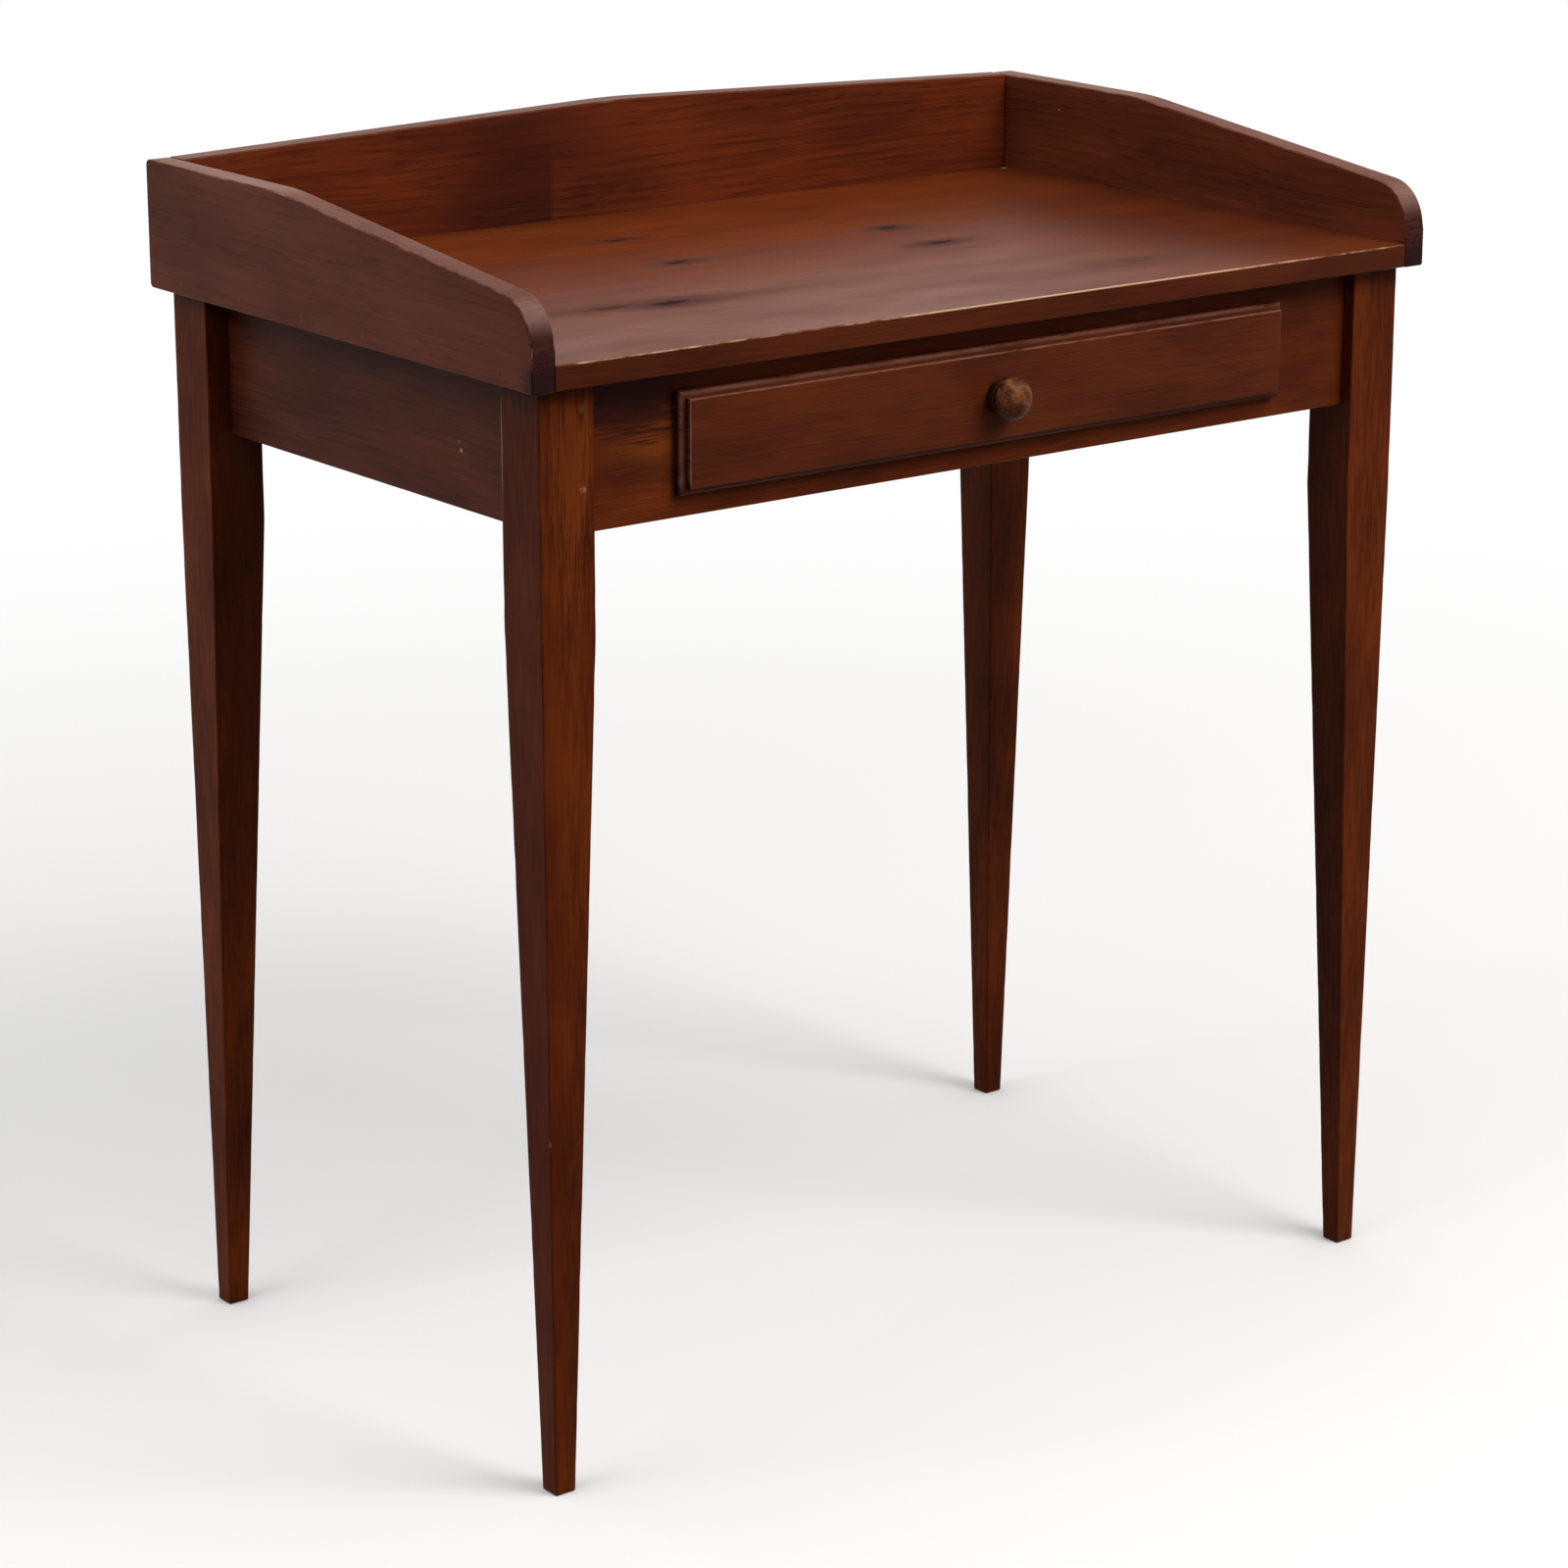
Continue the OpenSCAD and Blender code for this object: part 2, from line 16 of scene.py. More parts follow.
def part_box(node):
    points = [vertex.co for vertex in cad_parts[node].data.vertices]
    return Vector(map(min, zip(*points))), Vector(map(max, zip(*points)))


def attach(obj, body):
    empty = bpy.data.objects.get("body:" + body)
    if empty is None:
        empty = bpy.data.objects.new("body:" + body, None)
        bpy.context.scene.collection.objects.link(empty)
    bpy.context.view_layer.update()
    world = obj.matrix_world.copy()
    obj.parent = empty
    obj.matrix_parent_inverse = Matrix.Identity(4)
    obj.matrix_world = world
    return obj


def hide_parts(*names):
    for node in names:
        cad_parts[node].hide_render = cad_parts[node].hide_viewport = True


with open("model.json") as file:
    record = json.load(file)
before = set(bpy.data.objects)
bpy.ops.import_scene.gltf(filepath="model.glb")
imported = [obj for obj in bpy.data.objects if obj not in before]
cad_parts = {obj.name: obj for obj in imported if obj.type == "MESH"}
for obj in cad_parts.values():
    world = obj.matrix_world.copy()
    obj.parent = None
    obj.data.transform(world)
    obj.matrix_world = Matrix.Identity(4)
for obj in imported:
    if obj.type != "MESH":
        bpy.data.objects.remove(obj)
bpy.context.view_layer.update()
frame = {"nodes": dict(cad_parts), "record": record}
MM = 0.001

# The photograph's camera, fitted to the desk's edges
PHOTO_PX = 1600
FOCAL_PX = 4729.0
AXIS_PX = 960
CAMERA_AZIMUTH = math.radians(-39.656)
CAMERA_ELEVATION = math.radians(16.464)
CAMERA_ROLL = math.radians(0.590)
CAMERA_DISTANCE = 3429.7 * MM
CAMERA_TARGET = Vector((134.8, 9.0, 350.9)) * MM
SENSOR = 36

# The gallery's outlines and arrises, and its rows of points as shares of a board's height
SIDE_LEVEL = 168 * MM
SIDE_FRONT_RISE = 39.3 * MM
SIDE_BEND_R = 260 * MM
SIDE_NOSE_R = 32 * MM
SIDE_BACK_R = 3.5 * MM
SIDE_ARRIS = 1.6 * MM
BACK_REBATE = 3 * MM
BACK_PEAK_R = 800 * MM
BACK_ARRIS = 1.5 * MM
GALLERY_ROWS = [i / 6 for i in range(7)]

# The legs, and the pegs in them, by their drop below the leg's top
LEG = 42 * MM
FOOT = 16 * MM
LEG_OUTER_TAPER = 4.2 * MM
TAPER_DROP = 160.5 * MM
FOOT_CHAMFER = 1.2 * MM
PEG_D = 6 * MM
PEG_DROPS = (16 * MM, 67 * MM)
PEG_PROUD = 0.1 * MM

# The drawer front, from its square edge in to the flat field
LIP_T = 11.5 * MM
BEAD_W = 4.5 * MM
BEAD_H = 3 * MM
STEP_H = 4 * MM
LIP_COVER = 6 * MM

# Loops of that moulding that carry a painted highlight on the top and left edges, and how strongly: over
# the bead's crown and at the field's edge
MOULD_PAINTED_HIGHLIGHT = ((1, 0.2), (2, 0.5), (3, 0.7), (4, 0.7), (5, 0.5), (6, 0.2),
              (-4, 0.6), (-3, 1.0), (-2, 0.6))

# The knob, from its foot outwards
COLLAR_T = 7 * MM
COLLAR_D = 25 * MM
COLLAR_R = 2 * MM
GROOVE_D = 20 * MM
GROOVE_L = 2 * MM
GROOVE_WALL = 0.2 * MM
KNOB_WIDE = 12.5 * MM

# Nails along the side boards, filled over
NAIL_FIRST = 35 * MM
NAIL_PITCH = 76 * MM
NAIL_COUNT = 6
BACK_NAILS = (18 * MM, 54 * MM)
FILLER_D = 5.2 * MM
FILLER_PROUD = 0.12 * MM

# How the wood was worked and worn
ARRIS = 1.3 * MM
FINE_ARRIS = 0.6 * MM
STATION = 9 * MM
PLANING = 0.12 * MM
PLANE_WIDTH = 60 * MM
HANDLING = 0.35 * MM
KNOCK_WIDTH = 14 * MM
SHARP = math.radians(30)

# The studio floor, and how far from the desk it fades to white
FLOOR_HALF = 40.0
FADE_FROM = 0.7
FADE_TO = 2.6


# Meshes

def stations(low, high, step=STATION):
    """Even places from low to high, no further apart than the step."""
    count = max(1, math.ceil((high - low) / step))
    return [low + (high - low) * i / count for i in range(count + 1)]


def board_mesh(xs, ys, zs, window=None):
    """Closed skin of a board that stands in XZ with its thickness along Y, and a window through it."""
    board = bmesh.new()
    board.verts.layers.float.new("arris")
    made = {}

    def corner(i, j, k):
        if (i, j, k) not in made:
            made[i, j, k] = board.verts.new((xs[i], ys[j], zs[k]))
        return made[i, j, k]

    def solid(i, k):
        if not (0 <= i < len(xs) - 1 and 0 <= k < len(zs) - 1):
            return False
        if window is None:
            return True
        x = (xs[i] + xs[i + 1]) / 2
        z = (zs[k] + zs[k + 1]) / 2
        (left, right), (low, high) = window
        return not (left < x < right and low < z < high)

    last = len(ys) - 1
    for i in range(len(xs) - 1):
        for k in range(len(zs) - 1):
            if not solid(i, k):
                continue
            square = ((i, k), (i + 1, k), (i + 1, k + 1), (i, k + 1))
            for j in (0, last):
                board.faces.new([corner(a, j, c) for a, c in square])
            beside = ((i, k - 1), (i + 1, k), (i, k + 1), (i - 1, k))
            for side, (a, c) in enumerate(beside):
                if solid(a, c):
                    continue
                start = square[side]
                end = square[(side + 1) % 4]
                for j in range(last):
                    board.faces.new([corner(start[0], j, start[1]), corner(end[0], j, end[1]),
                                     corner(end[0], j + 1, end[1]), corner(start[0], j + 1, start[1])])
    face_outwards(board)
    return board


def face_outwards(board):
    """Turns every face of a closed mesh outwards."""
    bmesh.ops.recalc_face_normals(board, faces=board.faces)
    if board.calc_volume(signed=True) < 0:
        bmesh.ops.reverse_faces(board, faces=board.faces)


def skin(board, loops):
    """Fills in the faces between each loop of corners and the next."""
    for before, after in zip(loops, loops[1:]):
        for i in range(len(before)):
            board.faces.new((before[i - 1], before[i], after[i], after[i - 1]))


def shape(board, place):
    """Moves each corner of a board to where place says."""
    for vertex in board.verts:
        vertex.co = place(vertex.co)
    face_outwards(board)


def round_arrises(board, width=ARRIS, steps=3, edges=None):
    """Rounds the sharp edges and marks the rounding, where stain and varnish are rubbed through."""
    mark = board.verts.layers.float["arris"]
    if edges is None:
        edges = [edge for edge in board.edges if edge.calc_face_angle(0) > SHARP]
    rounded = bmesh.ops.bevel(board, geom=edges, offset=width, offset_type="OFFSET", segments=steps,
                              profile=0.5, affect="EDGES")
    strip = set(rounded["faces"])
    for vertex in board.verts:
        if all(face in strip for face in vertex.link_faces):
            vertex[mark] = 1.0


def keep_wear(board, exposed):
    """Leaves the arris marks only where exposed says that hands and cloths reach."""
    mark = board.verts.layers.float["arris"]
    for vertex in board.verts:
        if not exposed(vertex.co):
            vertex[mark] = 0.0


def hand_work(board):
    """Shallow hollows left by the plane, and arrises rubbed down unevenly."""
    mark = board.verts.layers.float["arris"]
    board.normal_update()
    for vertex in board.verts:
        rubbed_and_highlight_tone = vertex[mark]
        depth = PLANING * (0.5 + 0.5 * noise.noise(vertex.co / PLANE_WIDTH))
        depth += rubbed_and_highlight_tone * HANDLING * max(0, noise.noise(vertex.co / KNOCK_WIDTH))
        vertex.co -= vertex.normal * depth


def add_object(name, data):
    """Puts a new object into the scene."""
    made = bpy.data.objects.new(name, data)
    bpy.context.scene.collection.objects.link(made)
    return made


def piece(name, board, finish, body, replaced=()):
    """Makes the object, with normals that keep flat faces flat beside their rounded arrises."""
    for node in replaced:
        low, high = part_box(node)
        for vertex in board.verts:
            vertex.co = [min(max(place, least), most)
                         for place, least, most in zip(vertex.co, low, high)]
    for edge in board.edges:
        edge.smooth = edge.calc_face_angle(0) < SHARP
    mesh = bpy.data.meshes.new(name)
    board.to_mesh(mesh)
    board.free()
    mesh.shade_smooth()
    mesh.materials.append(finish)
    made = add_object(name, mesh)
    even = made.modifiers.new("even_normals", "WEIGHTED_NORMAL")
    even.weight = 100
    even.keep_sharp = True
    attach(made, body)
    if replaced:
        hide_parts(*replaced)


# Finishes

X, Y, Z = 0, 1, 2

# A colour mix's sockets, by number, because its float and vector sockets bear the same names
FACTOR, MIX_A, MIX_B, MIXED = 0, 6, 7, 2


def linear(colour):
    """A colour given as sRGB hex, as linear RGBA."""
    parts = [int(colour[i:i + 2], 16) / 255 for i in (1, 3, 5)]
    return [p / 12.92 if p <= 0.04045 else ((p + 0.055) / 1.055) ** 2.4 for p in parts] + [1.0]


def add(tree, kind, links=None, **settings):
    """Adds a node, sets its settings, and fills its sockets with values or with other nodes' outputs."""
    node = tree.nodes.new("ShaderNode" + kind)
    for name, value in settings.items():
        setattr(node, name, value)
    for name, value in (links or {}).items():
        if isinstance(value, bpy.types.NodeSocket):
            tree.links.new(value, node.inputs[name])
        else:
            node.inputs[name].default_value = value
    return node


def clean_tree(owner):
    """The node tree of a material or of the world, with nothing in it yet."""
    owner.use_nodes = True
    owner.node_tree.nodes.clear()
    return owner.node_tree


def begin_finish(name):
    """A material with a surface shader and nothing else yet."""
    finish = bpy.data.materials.new(name)
    tree = clean_tree(finish)
    surface = add(tree, "BsdfPrincipled")
    add(tree, "OutputMaterial", {"Surface": surface.outputs[0]})
    return finish, tree, surface


def grain_space(tree, order, offset):
    """Places in millimetres, in the order along the grain, across the face, into the board."""
    mm = add(tree, "VectorMath", {0: add(tree, "TexCoord").outputs["Object"], "Scale": 1 / MM},
             operation="SCALE")
    parts = add(tree, "SeparateXYZ", {0: mm.outputs[0]})
    turned = add(tree, "CombineXYZ", {i: parts.outputs[axis] for i, axis in enumerate(order)})
    return add(tree, "VectorMath", {0: turned.outputs[0], 1: offset}, operation="ADD").outputs[0]


def figure(tree, grain, length, width, detail=2.0, rough=0.5):
    """Cloudy figure stretched along the grain, length by width in millimetres."""
    stretched = add(tree, "VectorMath", {0: grain, 1: (1 / length, 1 / width, 1 / width)},
                    operation="MULTIPLY")
    cloud = add(tree, "TexNoise", {"Vector": stretched.outputs[0], "Scale": 1.0, "Detail": detail,
                                   "Roughness": rough})
    return cloud.outputs[0]


def spot_distance(tree, grain, along, across, length, width):
    """The way from a spot on the face, in shares of its half length and half width."""
    away = add(tree, "VectorMath", {0: grain, 1: (along, across, 0)}, operation="SUBTRACT")
    share = add(tree, "VectorMath", {0: away.outputs[0], 1: (1 / length, 1 / width, 0)},
                operation="MULTIPLY")
    return share.outputs[0]


# Sizes of pine's patterns, along and across the grain in millimetres
SWAY_SIZE = (130, 60)
WANDER_SIZE = (420, 70)
SHIVER_SIZE = (60, 9)
CLOUD_SIZE = (150, 45)
PORE_SIZE = (17, 0.9)
PATCH_SIZE = (60, 25)
WORN_SIZE = (26, 12)

# How far growth rings wander and shiver, in millimetres, and how little of their bend runs along the trunk
WANDER = 44.0
SHIVER = 3.0
ALONG_TRUNK = 0.012

# Cut fibres in end grain, by their thickness and by their length across it, in millimetres
CUT_FIBRE = 1.3
CUT_LENGTH = 14

# A knot's black core and brown smear, each from its edge in to where it is whole, in shares of the knot's
# size, and how ragged it is and how far rings bulge round it
KNOT_CORE = (1.1, 0.35)
KNOT_SMEAR = (3.2, 0.7)
KNOT_REACH = 3.2
KNOT_RAGGED = 1.3
KNOT_BULGE = 2.2
KNOT_BLACK = "#1c070b"

# A stain's edge and where it is whole, in shares of its size, how ragged it is, and half the width in
# millimetres over which a sharp end fades
STAIN_EDGE = 3.0
STAIN_WHOLE = 2.1
STAIN_RAGGED = 3.2
SHARP_END = 2

# A chip's edge and where it is whole, in shares of its size
CHIP_EDGE = 1.7
CHIP_WHOLE = 1.2

# Where the light and the dark wood lie on the scale of shade
LIGHT_AT = 0.2
DARK_AT = 0.9

# Index of refraction of varnish, oil and wax alike
VARNISH_IOR = 1.5


def pine(name, order, tones, offset=(0, 0, 0), pith=(0, -70), ring_gap=7.0, rings=0.12, fibres=0.8,
         clouds=1.0, dashes=0.3, wave=5.0, knots=(), stains_and_painted_light=(), rubbed_and_highlight_tone="#8d6650", rubbed_and_highlight=0.5, rubbed_and_highlight_stretch=None,
         end_tone="#260f12", end_streak="#3c1d1a", end_painted_highlight=None, rough=0.42, gloss=0.08,
         lift=0.25, painted_sky_sheen=None, chips=(), painted_face_shade=None, face_depth=None, fibre_size=(70, 1.5)):
    """Pine: growth rings cut by the board's face, fine fibres, uneven stain, short dark pores and knots.

    order names the axes along the grain, across the face and into the board. tones run from the light to
    the dark wood. A knot is given by its place along and across the face in millimetres, half length, half
    width and strength. A stain, or a patch of painted light or shade, has also the place of its sharp end,
    or None, and its tone, and reaches into the board as far as face_depth. A chip is given by its place
    along, across and into the board, half width, half length and tone. The stretch of arris given by its
    middle and half length is rubbed through to the wood, its pale line partly a painted highlight. The axis
    given for painted shade is the one that the paler faces look along, with how much the others are dimmed.
    """
    finish, tree, surface = begin_finish(name)
    plain = grain_space(tree, order, (0, 0, 0))
    moved = add(tree, "VectorMath", {0: plain, 1: offset}, operation="ADD").outputs[0]
    sway = figure(tree, moved, *SWAY_SIZE, 1.0)
    sway = add(tree, "Math", {0: sway, 1: wave}, operation="MULTIPLY").outputs[0]
    sway = add(tree, "CombineXYZ", {"Y": sway}).outputs[0]
    grain = add(tree, "VectorMath", {0: moved, 1: sway}, operation="ADD").outputs[0]

    # The board's face cuts rings that run round a pith far below it, so they open into long arches
    from_pith = add(tree, "VectorMath", {0: grain, 1: (0, pith[0], pith[1])}, operation="SUBTRACT")
    flat = add(tree, "VectorMath", {0: from_pith.outputs[0], 1: (ALONG_TRUNK, 1, 1)}, operation="MULTIPLY")
    radius = add(tree, "VectorMath", {0: flat.outputs[0]}, operation="LENGTH").outputs["Value"]
    wander = figure(tree, grain, *WANDER_SIZE)
    field = add(tree, "Math", {0: wander, 1: WANDER, 2: radius}, operation="MULTIPLY_ADD").outputs[0]
    shiver = figure(tree, grain, *SHIVER_SIZE)
    field = add(tree, "Math", {0: shiver, 1: SHIVER, 2: field}, operation="MULTIPLY_ADD").outputs[0]

    # Knots: a black core in a brown smear, with the rings bulging round it
    knot_tone = 0.0
    for along, across, length, width, strength in knots:
        share = spot_distance(tree, plain, along, across, length, width)
        uneven = add(tree, "TexNoise", {"Vector": share, "Scale": 1.3, "Detail": 4.0}).outputs["Color"]
        share = add(tree, "VectorMath", {0: uneven, 1: (KNOT_RAGGED,) * 3, 2: share},
                    operation="MULTIPLY_ADD").outputs[0]
        share = add(tree, "VectorMath", {0: share, 1: (KNOT_RAGGED / 2,) * 3}, operation="SUBTRACT")
        share = add(tree, "VectorMath", {0: share.outputs[0], 1: (1, 1, 0)}, operation="MULTIPLY")
        far = add(tree, "VectorMath", {0: share.outputs[0]}, operation="LENGTH").outputs["Value"]
        bulge = add(tree, "MapRange", {"Value": far, "From Min": KNOT_REACH, "From Max": 0.0,
                                       "To Min": 0.0, "To Max": KNOT_BULGE * width},
                    interpolation_type="SMOOTHERSTEP")
        field = add(tree, "Math", {0: field, 1: bulge.outputs[0]}, operation="ADD").outputs[0]
        for (edge, whole), most in ((KNOT_CORE, strength), (KNOT_SMEAR, 0.55 * strength)):
            tone = add(tree, "MapRange", {"Value": far, "From Min": edge, "From Max": whole,
                                          "To Min": 0.0, "To Max": most}, interpolation_type="SMOOTHSTEP")
            knot_tone = add(tree, "Math", {0: tone.outputs[0], 1: knot_tone},
                            operation="MAXIMUM").outputs[0]

    # A year's ring: pale early wood that darkens into a narrow late band
    turns = add(tree, "Math", {0: field, 1: ring_gap}, operation="DIVIDE").outputs[0]
    year = add(tree, "Math", {0: turns}, operation="FRACT").outputs[0]
    late = add(tree, "ValToRGB", {"Fac": year})
    ramp = late.color_ramp.elements
    ramp[0].position, ramp[0].color = 0.0, (0.2, 0.2, 0.2, 1)
    ramp[1].position, ramp[1].color = 1.0, (0.2, 0.2, 0.2, 1)
    for position, shade in ((0.45, 0.3), (0.78, 1.0), (0.88, 0.8)):
        ramp.new(position).color = (shade, shade, shade, 1)
    late_wood = late.outputs["Color"]

    # Fibres, clouds of stain, and pores that show in patches
    fibre = figure(tree, grain, *fibre_size, 4.0, 0.65)
    cloud = figure(tree, grain, *CLOUD_SIZE, 3.0, 0.6)
    pore_cloud = figure(tree, grain, *PORE_SIZE, 1.0)
    pore = add(tree, "MapRange", {"Value": pore_cloud, "From Min": 0.56, "From Max": 0.72}).outputs[0]
    patchy = figure(tree, moved, *PATCH_SIZE, 2.0)
    patchy = add(tree, "MapRange", {"Value": patchy, "From Min": 0.4, "From Max": 0.6}).outputs[0]
    pore = add(tree, "Math", {0: pore, 1: patchy}, operation="MULTIPLY").outputs[0]

    shade = add(tree, "Math", {0: late_wood, 1: rings, 2: 0.5 - 0.4 * rings - fibres / 2 - clouds / 2},
                operation="MULTIPLY_ADD").outputs[0]
    for pattern, share in ((fibre, fibres), (cloud, clouds), (pore, dashes)):
        shade = add(tree, "Math", {0: pattern, 1: share, 2: shade}, operation="MULTIPLY_ADD").outputs[0]
    facing = add(tree, "SeparateXYZ", {0: add(tree, "TexCoord").outputs["Normal"]})
    # Painted shade: faces that look away from the given axis are darkened, as if less light reached them
    if painted_face_shade:
        axis, darker = painted_face_shade
        away = add(tree, "Math", {0: facing.outputs[axis]}, operation="ABSOLUTE").outputs[0]
        away = add(tree, "MapRange", {"Value": away, "From Min": 0.9, "From Max": 0.2, "To Max": darker})
        shade = add(tree, "Math", {0: shade, 1: away.outputs[0]}, operation="ADD").outputs[0]

    tint = add(tree, "ValToRGB", {"Fac": shade})
    ramp = tint.color_ramp.elements
    ramp[0].position, ramp[0].color = LIGHT_AT, linear(tones[0])
    ramp[1].position, ramp[1].color = DARK_AT, linear(tones[-1])
    for i, tone in enumerate(tones[1:-1]):
        ramp.new(LIGHT_AT + (DARK_AT - LIGHT_AT) * (i + 1) / (len(tones) - 1)).color = linear(tone)
    colour = tint.outputs["Color"]
    if knots:
        mixed = add(tree, "Mix", {FACTOR: knot_tone, MIX_A: colour, MIX_B: linear(KNOT_BLACK)},
                    data_type="RGBA")
        colour = mixed.outputs[MIXED]

    # End grain drinks more stain and shows its cut fibres as short cross streaks; where it faces up it gets
    # a painted highlight
    end_on = add(tree, "Math", {0: facing.outputs[order[0]]}, operation="ABSOLUTE").outputs[0]
    end_share = add(tree, "MapRange", {"Value": end_on, "From Min": 0.05, "From Max": 0.75},
                    interpolation_type="SMOOTHSTEP").outputs[0]
    cut = add(tree, "VectorMath", {0: plain, 1: (1 / CUT_FIBRE, 1 / CUT_FIBRE, 1 / CUT_LENGTH)},
              operation="MULTIPLY")
    cut = add(tree, "TexNoise", {"Vector": cut.outputs[0], "Scale": 1.0, "Detail": 3.0}).outputs[0]
    cut = add(tree, "MapRange", {"Value": cut, "From Min": 0.42, "From Max": 0.7}).outputs[0]
    end_tint = add(tree, "Mix", {FACTOR: cut, MIX_A: linear(end_tone), MIX_B: linear(end_streak)},
                   data_type="RGBA")
    end_colour = end_tint.outputs[MIXED]
    if end_painted_highlight:
        painted_highlight_up = add(tree, "MapRange", {"Value": facing.outputs[Z], "From Min": 0.15, "From Max": 0.8,
                                         "To Max": 0.6}, interpolation_type="SMOOTHSTEP").outputs[0]
        sound = add(tree, "Math", {0: cut, 1: -0.5, 2: 1.1}, operation="MULTIPLY_ADD").outputs[0]
        painted_highlight_up = add(tree, "Math", {0: painted_highlight_up, 1: sound}, operation="MULTIPLY").outputs[0]
        end_colour = add(tree, "Mix", {FACTOR: painted_highlight_up, MIX_A: end_colour, MIX_B: linear(end_painted_highlight)},
                         data_type="RGBA").outputs[MIXED]
    colour = add(tree, "Mix", {FACTOR: end_share, MIX_A: colour, MIX_B: end_colour},
                 data_type="RGBA").outputs[MIXED]

    # Stains, and patches of painted light and shade laid the same way: patches whose edges follow the
    # fibres, some cut off at a straight end
    places = add(tree, "SeparateXYZ", {0: plain}).outputs
    for along, across, length, width, strength, end, tone in stains_and_painted_light:
        share = spot_distance(tree, plain, along, across, length, width)
        far = add(tree, "VectorMath", {0: share}, operation="LENGTH").outputs["Value"]
        far = add(tree, "Math", {0: fibre, 1: STAIN_RAGGED, 2: far}, operation="MULTIPLY_ADD").outputs[0]
        patch = add(tree, "MapRange", {"Value": far, "From Min": STAIN_EDGE, "From Max": STAIN_WHOLE,
                                       "To Min": 0.0, "To Max": strength},
                    interpolation_type="SMOOTHSTEP").outputs[0]
        if end is not None:
            inside = add(tree, "MapRange", {"Value": places[0], "From Min": end + SHARP_END,
                                            "From Max": end - SHARP_END})
            patch = add(tree, "Math", {0: patch, 1: inside.outputs[0]}, operation="MULTIPLY").outputs[0]
        if face_depth is not None:
            near = add(tree, "Math", {0: places[2], 1: face_depth}, operation="LESS_THAN").outputs[0]
            patch = add(tree, "Math", {0: patch, 1: near}, operation="MULTIPLY").outputs[0]
        colour = add(tree, "Mix", {FACTOR: patch, MIX_A: colour, MIX_B: linear(tone)},
                     data_type="RGBA").outputs[MIXED]

    # Painted sheen: faces that look up are lightened towards a pale tone, standing in for the sky's
    # reflection
    if painted_sky_sheen:
        up = add(tree, "MapRange", {"Value": facing.outputs[Z], "From Min": 0.992, "From Max": 0.9995,
                                    "To Max": 0.85}, interpolation_type="SMOOTHSTEP").outputs[0]
        colour = add(tree, "Mix", {FACTOR: up, MIX_A: colour, MIX_B: linear(painted_sky_sheen)},
                     data_type="RGBA").outputs[MIXED]

    # Rubbed arrises: the varnish and stain are gone in short stretches, and right along the given stretch.
    # On the drawer front's top and left edges this pale tone is a painted highlight, and on the top's front
    # arris it is partly one
    rubbed = add(tree, "Attribute", attribute_name="arris").outputs["Fac"]
    stretches = figure(tree, plain, *WORN_SIZE, 3.0, 0.7)
    if rubbed_and_highlight_stretch:
        middle, half = rubbed_and_highlight_stretch
        away = add(tree, "Math", {0: places[0], 1: middle}, operation="SUBTRACT").outputs[0]
        away = add(tree, "Math", {0: away}, operation="ABSOLUTE").outputs[0]
        more = add(tree, "MapRange", {"Value": away, "From Min": 1.5 * half, "From Max": 0.5 * half,
                                      "To Max": 0.5}, interpolation_type="SMOOTHSTEP").outputs[0]
        stretches = add(tree, "Math", {0: stretches, 1: more}, operation="ADD").outputs[0]
    broken = add(tree, "MapRange", {"Value": stretches, "From Min": 0.66 - 0.3 * rubbed_and_highlight,
                                    "From Max": 0.95 - 0.3 * rubbed_and_highlight}).outputs[0]
    bare = add(tree, "Math", {0: rubbed, 1: broken}, operation="MULTIPLY").outputs[0]
    bare = add(tree, "Math", {0: bare, 1: rubbed_and_highlight}, operation="MULTIPLY").outputs[0]
    colour = add(tree, "Mix", {FACTOR: bare, MIX_A: colour, MIX_B: linear(rubbed_and_highlight_tone)},
                 data_type="RGBA").outputs[MIXED]

    # Chips: small knocks through the finish, and rubs that run along the grain
    for along, across, into, size, length, tone in chips:
        away = add(tree, "VectorMath", {0: plain, 1: (along, across, into)}, operation="SUBTRACT")
        away = add(tree, "VectorMath", {0: away.outputs[0], 1: (size / length, 1, 1)}, operation="MULTIPLY")
        far = add(tree, "VectorMath", {0: away.outputs[0]}, operation="LENGTH").outputs["Value"]
        far = add(tree, "Math", {0: fibre, 1: size, 2: far}, operation="MULTIPLY_ADD").outputs[0]
        hit = add(tree, "MapRange", {"Value": far, "From Min": CHIP_EDGE * size,
                                     "From Max": CHIP_WHOLE * size})
        colour = add(tree, "Mix", {FACTOR: hit.outputs[0], MIX_A: colour, MIX_B: linear(tone)},
                     data_type="RGBA").outputs[MIXED]

    tree.links.new(colour, surface.inputs["Base Color"])
    dull = add(tree, "Math", {0: cloud, 1: 0.3, 2: rough - 0.15}, operation="MULTIPLY_ADD").outputs[0]
    dull = add(tree, "Math", {0: pore, 1: 0.3 * dashes, 2: dull}, operation="MULTIPLY_ADD").outputs[0]
    if knots:
        dull = add(tree, "Math", {0: knot_tone, 1: 0.4, 2: dull}, operation="MULTIPLY_ADD").outputs[0]
    tree.links.new(dull, surface.inputs["Roughness"])
    surface.inputs["IOR"].default_value = VARNISH_IOR
    surface.inputs["Specular IOR Level"].default_value = gloss

    height = add(tree, "Math", {0: fibre, 1: 0.5, 2: 0.0}, operation="MULTIPLY_ADD").outputs[0]
    height = add(tree, "Math", {0: late_wood, 1: 2 * rings, 2: height},
                 operation="MULTIPLY_ADD").outputs[0]
    height = add(tree, "Math", {0: pore, 1: -1.5 * dashes, 2: height}, operation="MULTIPLY_ADD").outputs[0]
    raised = add(tree, "Bump", {"Height": height, "Strength": lift, "Distance": 0.2 * MM})
    tree.links.new(raised.outputs[0], surface.inputs["Normal"])
    return finish


MOTTLE_SIZE = 7
GRIME_AND_SHADE_BLACK = "#180a0a"


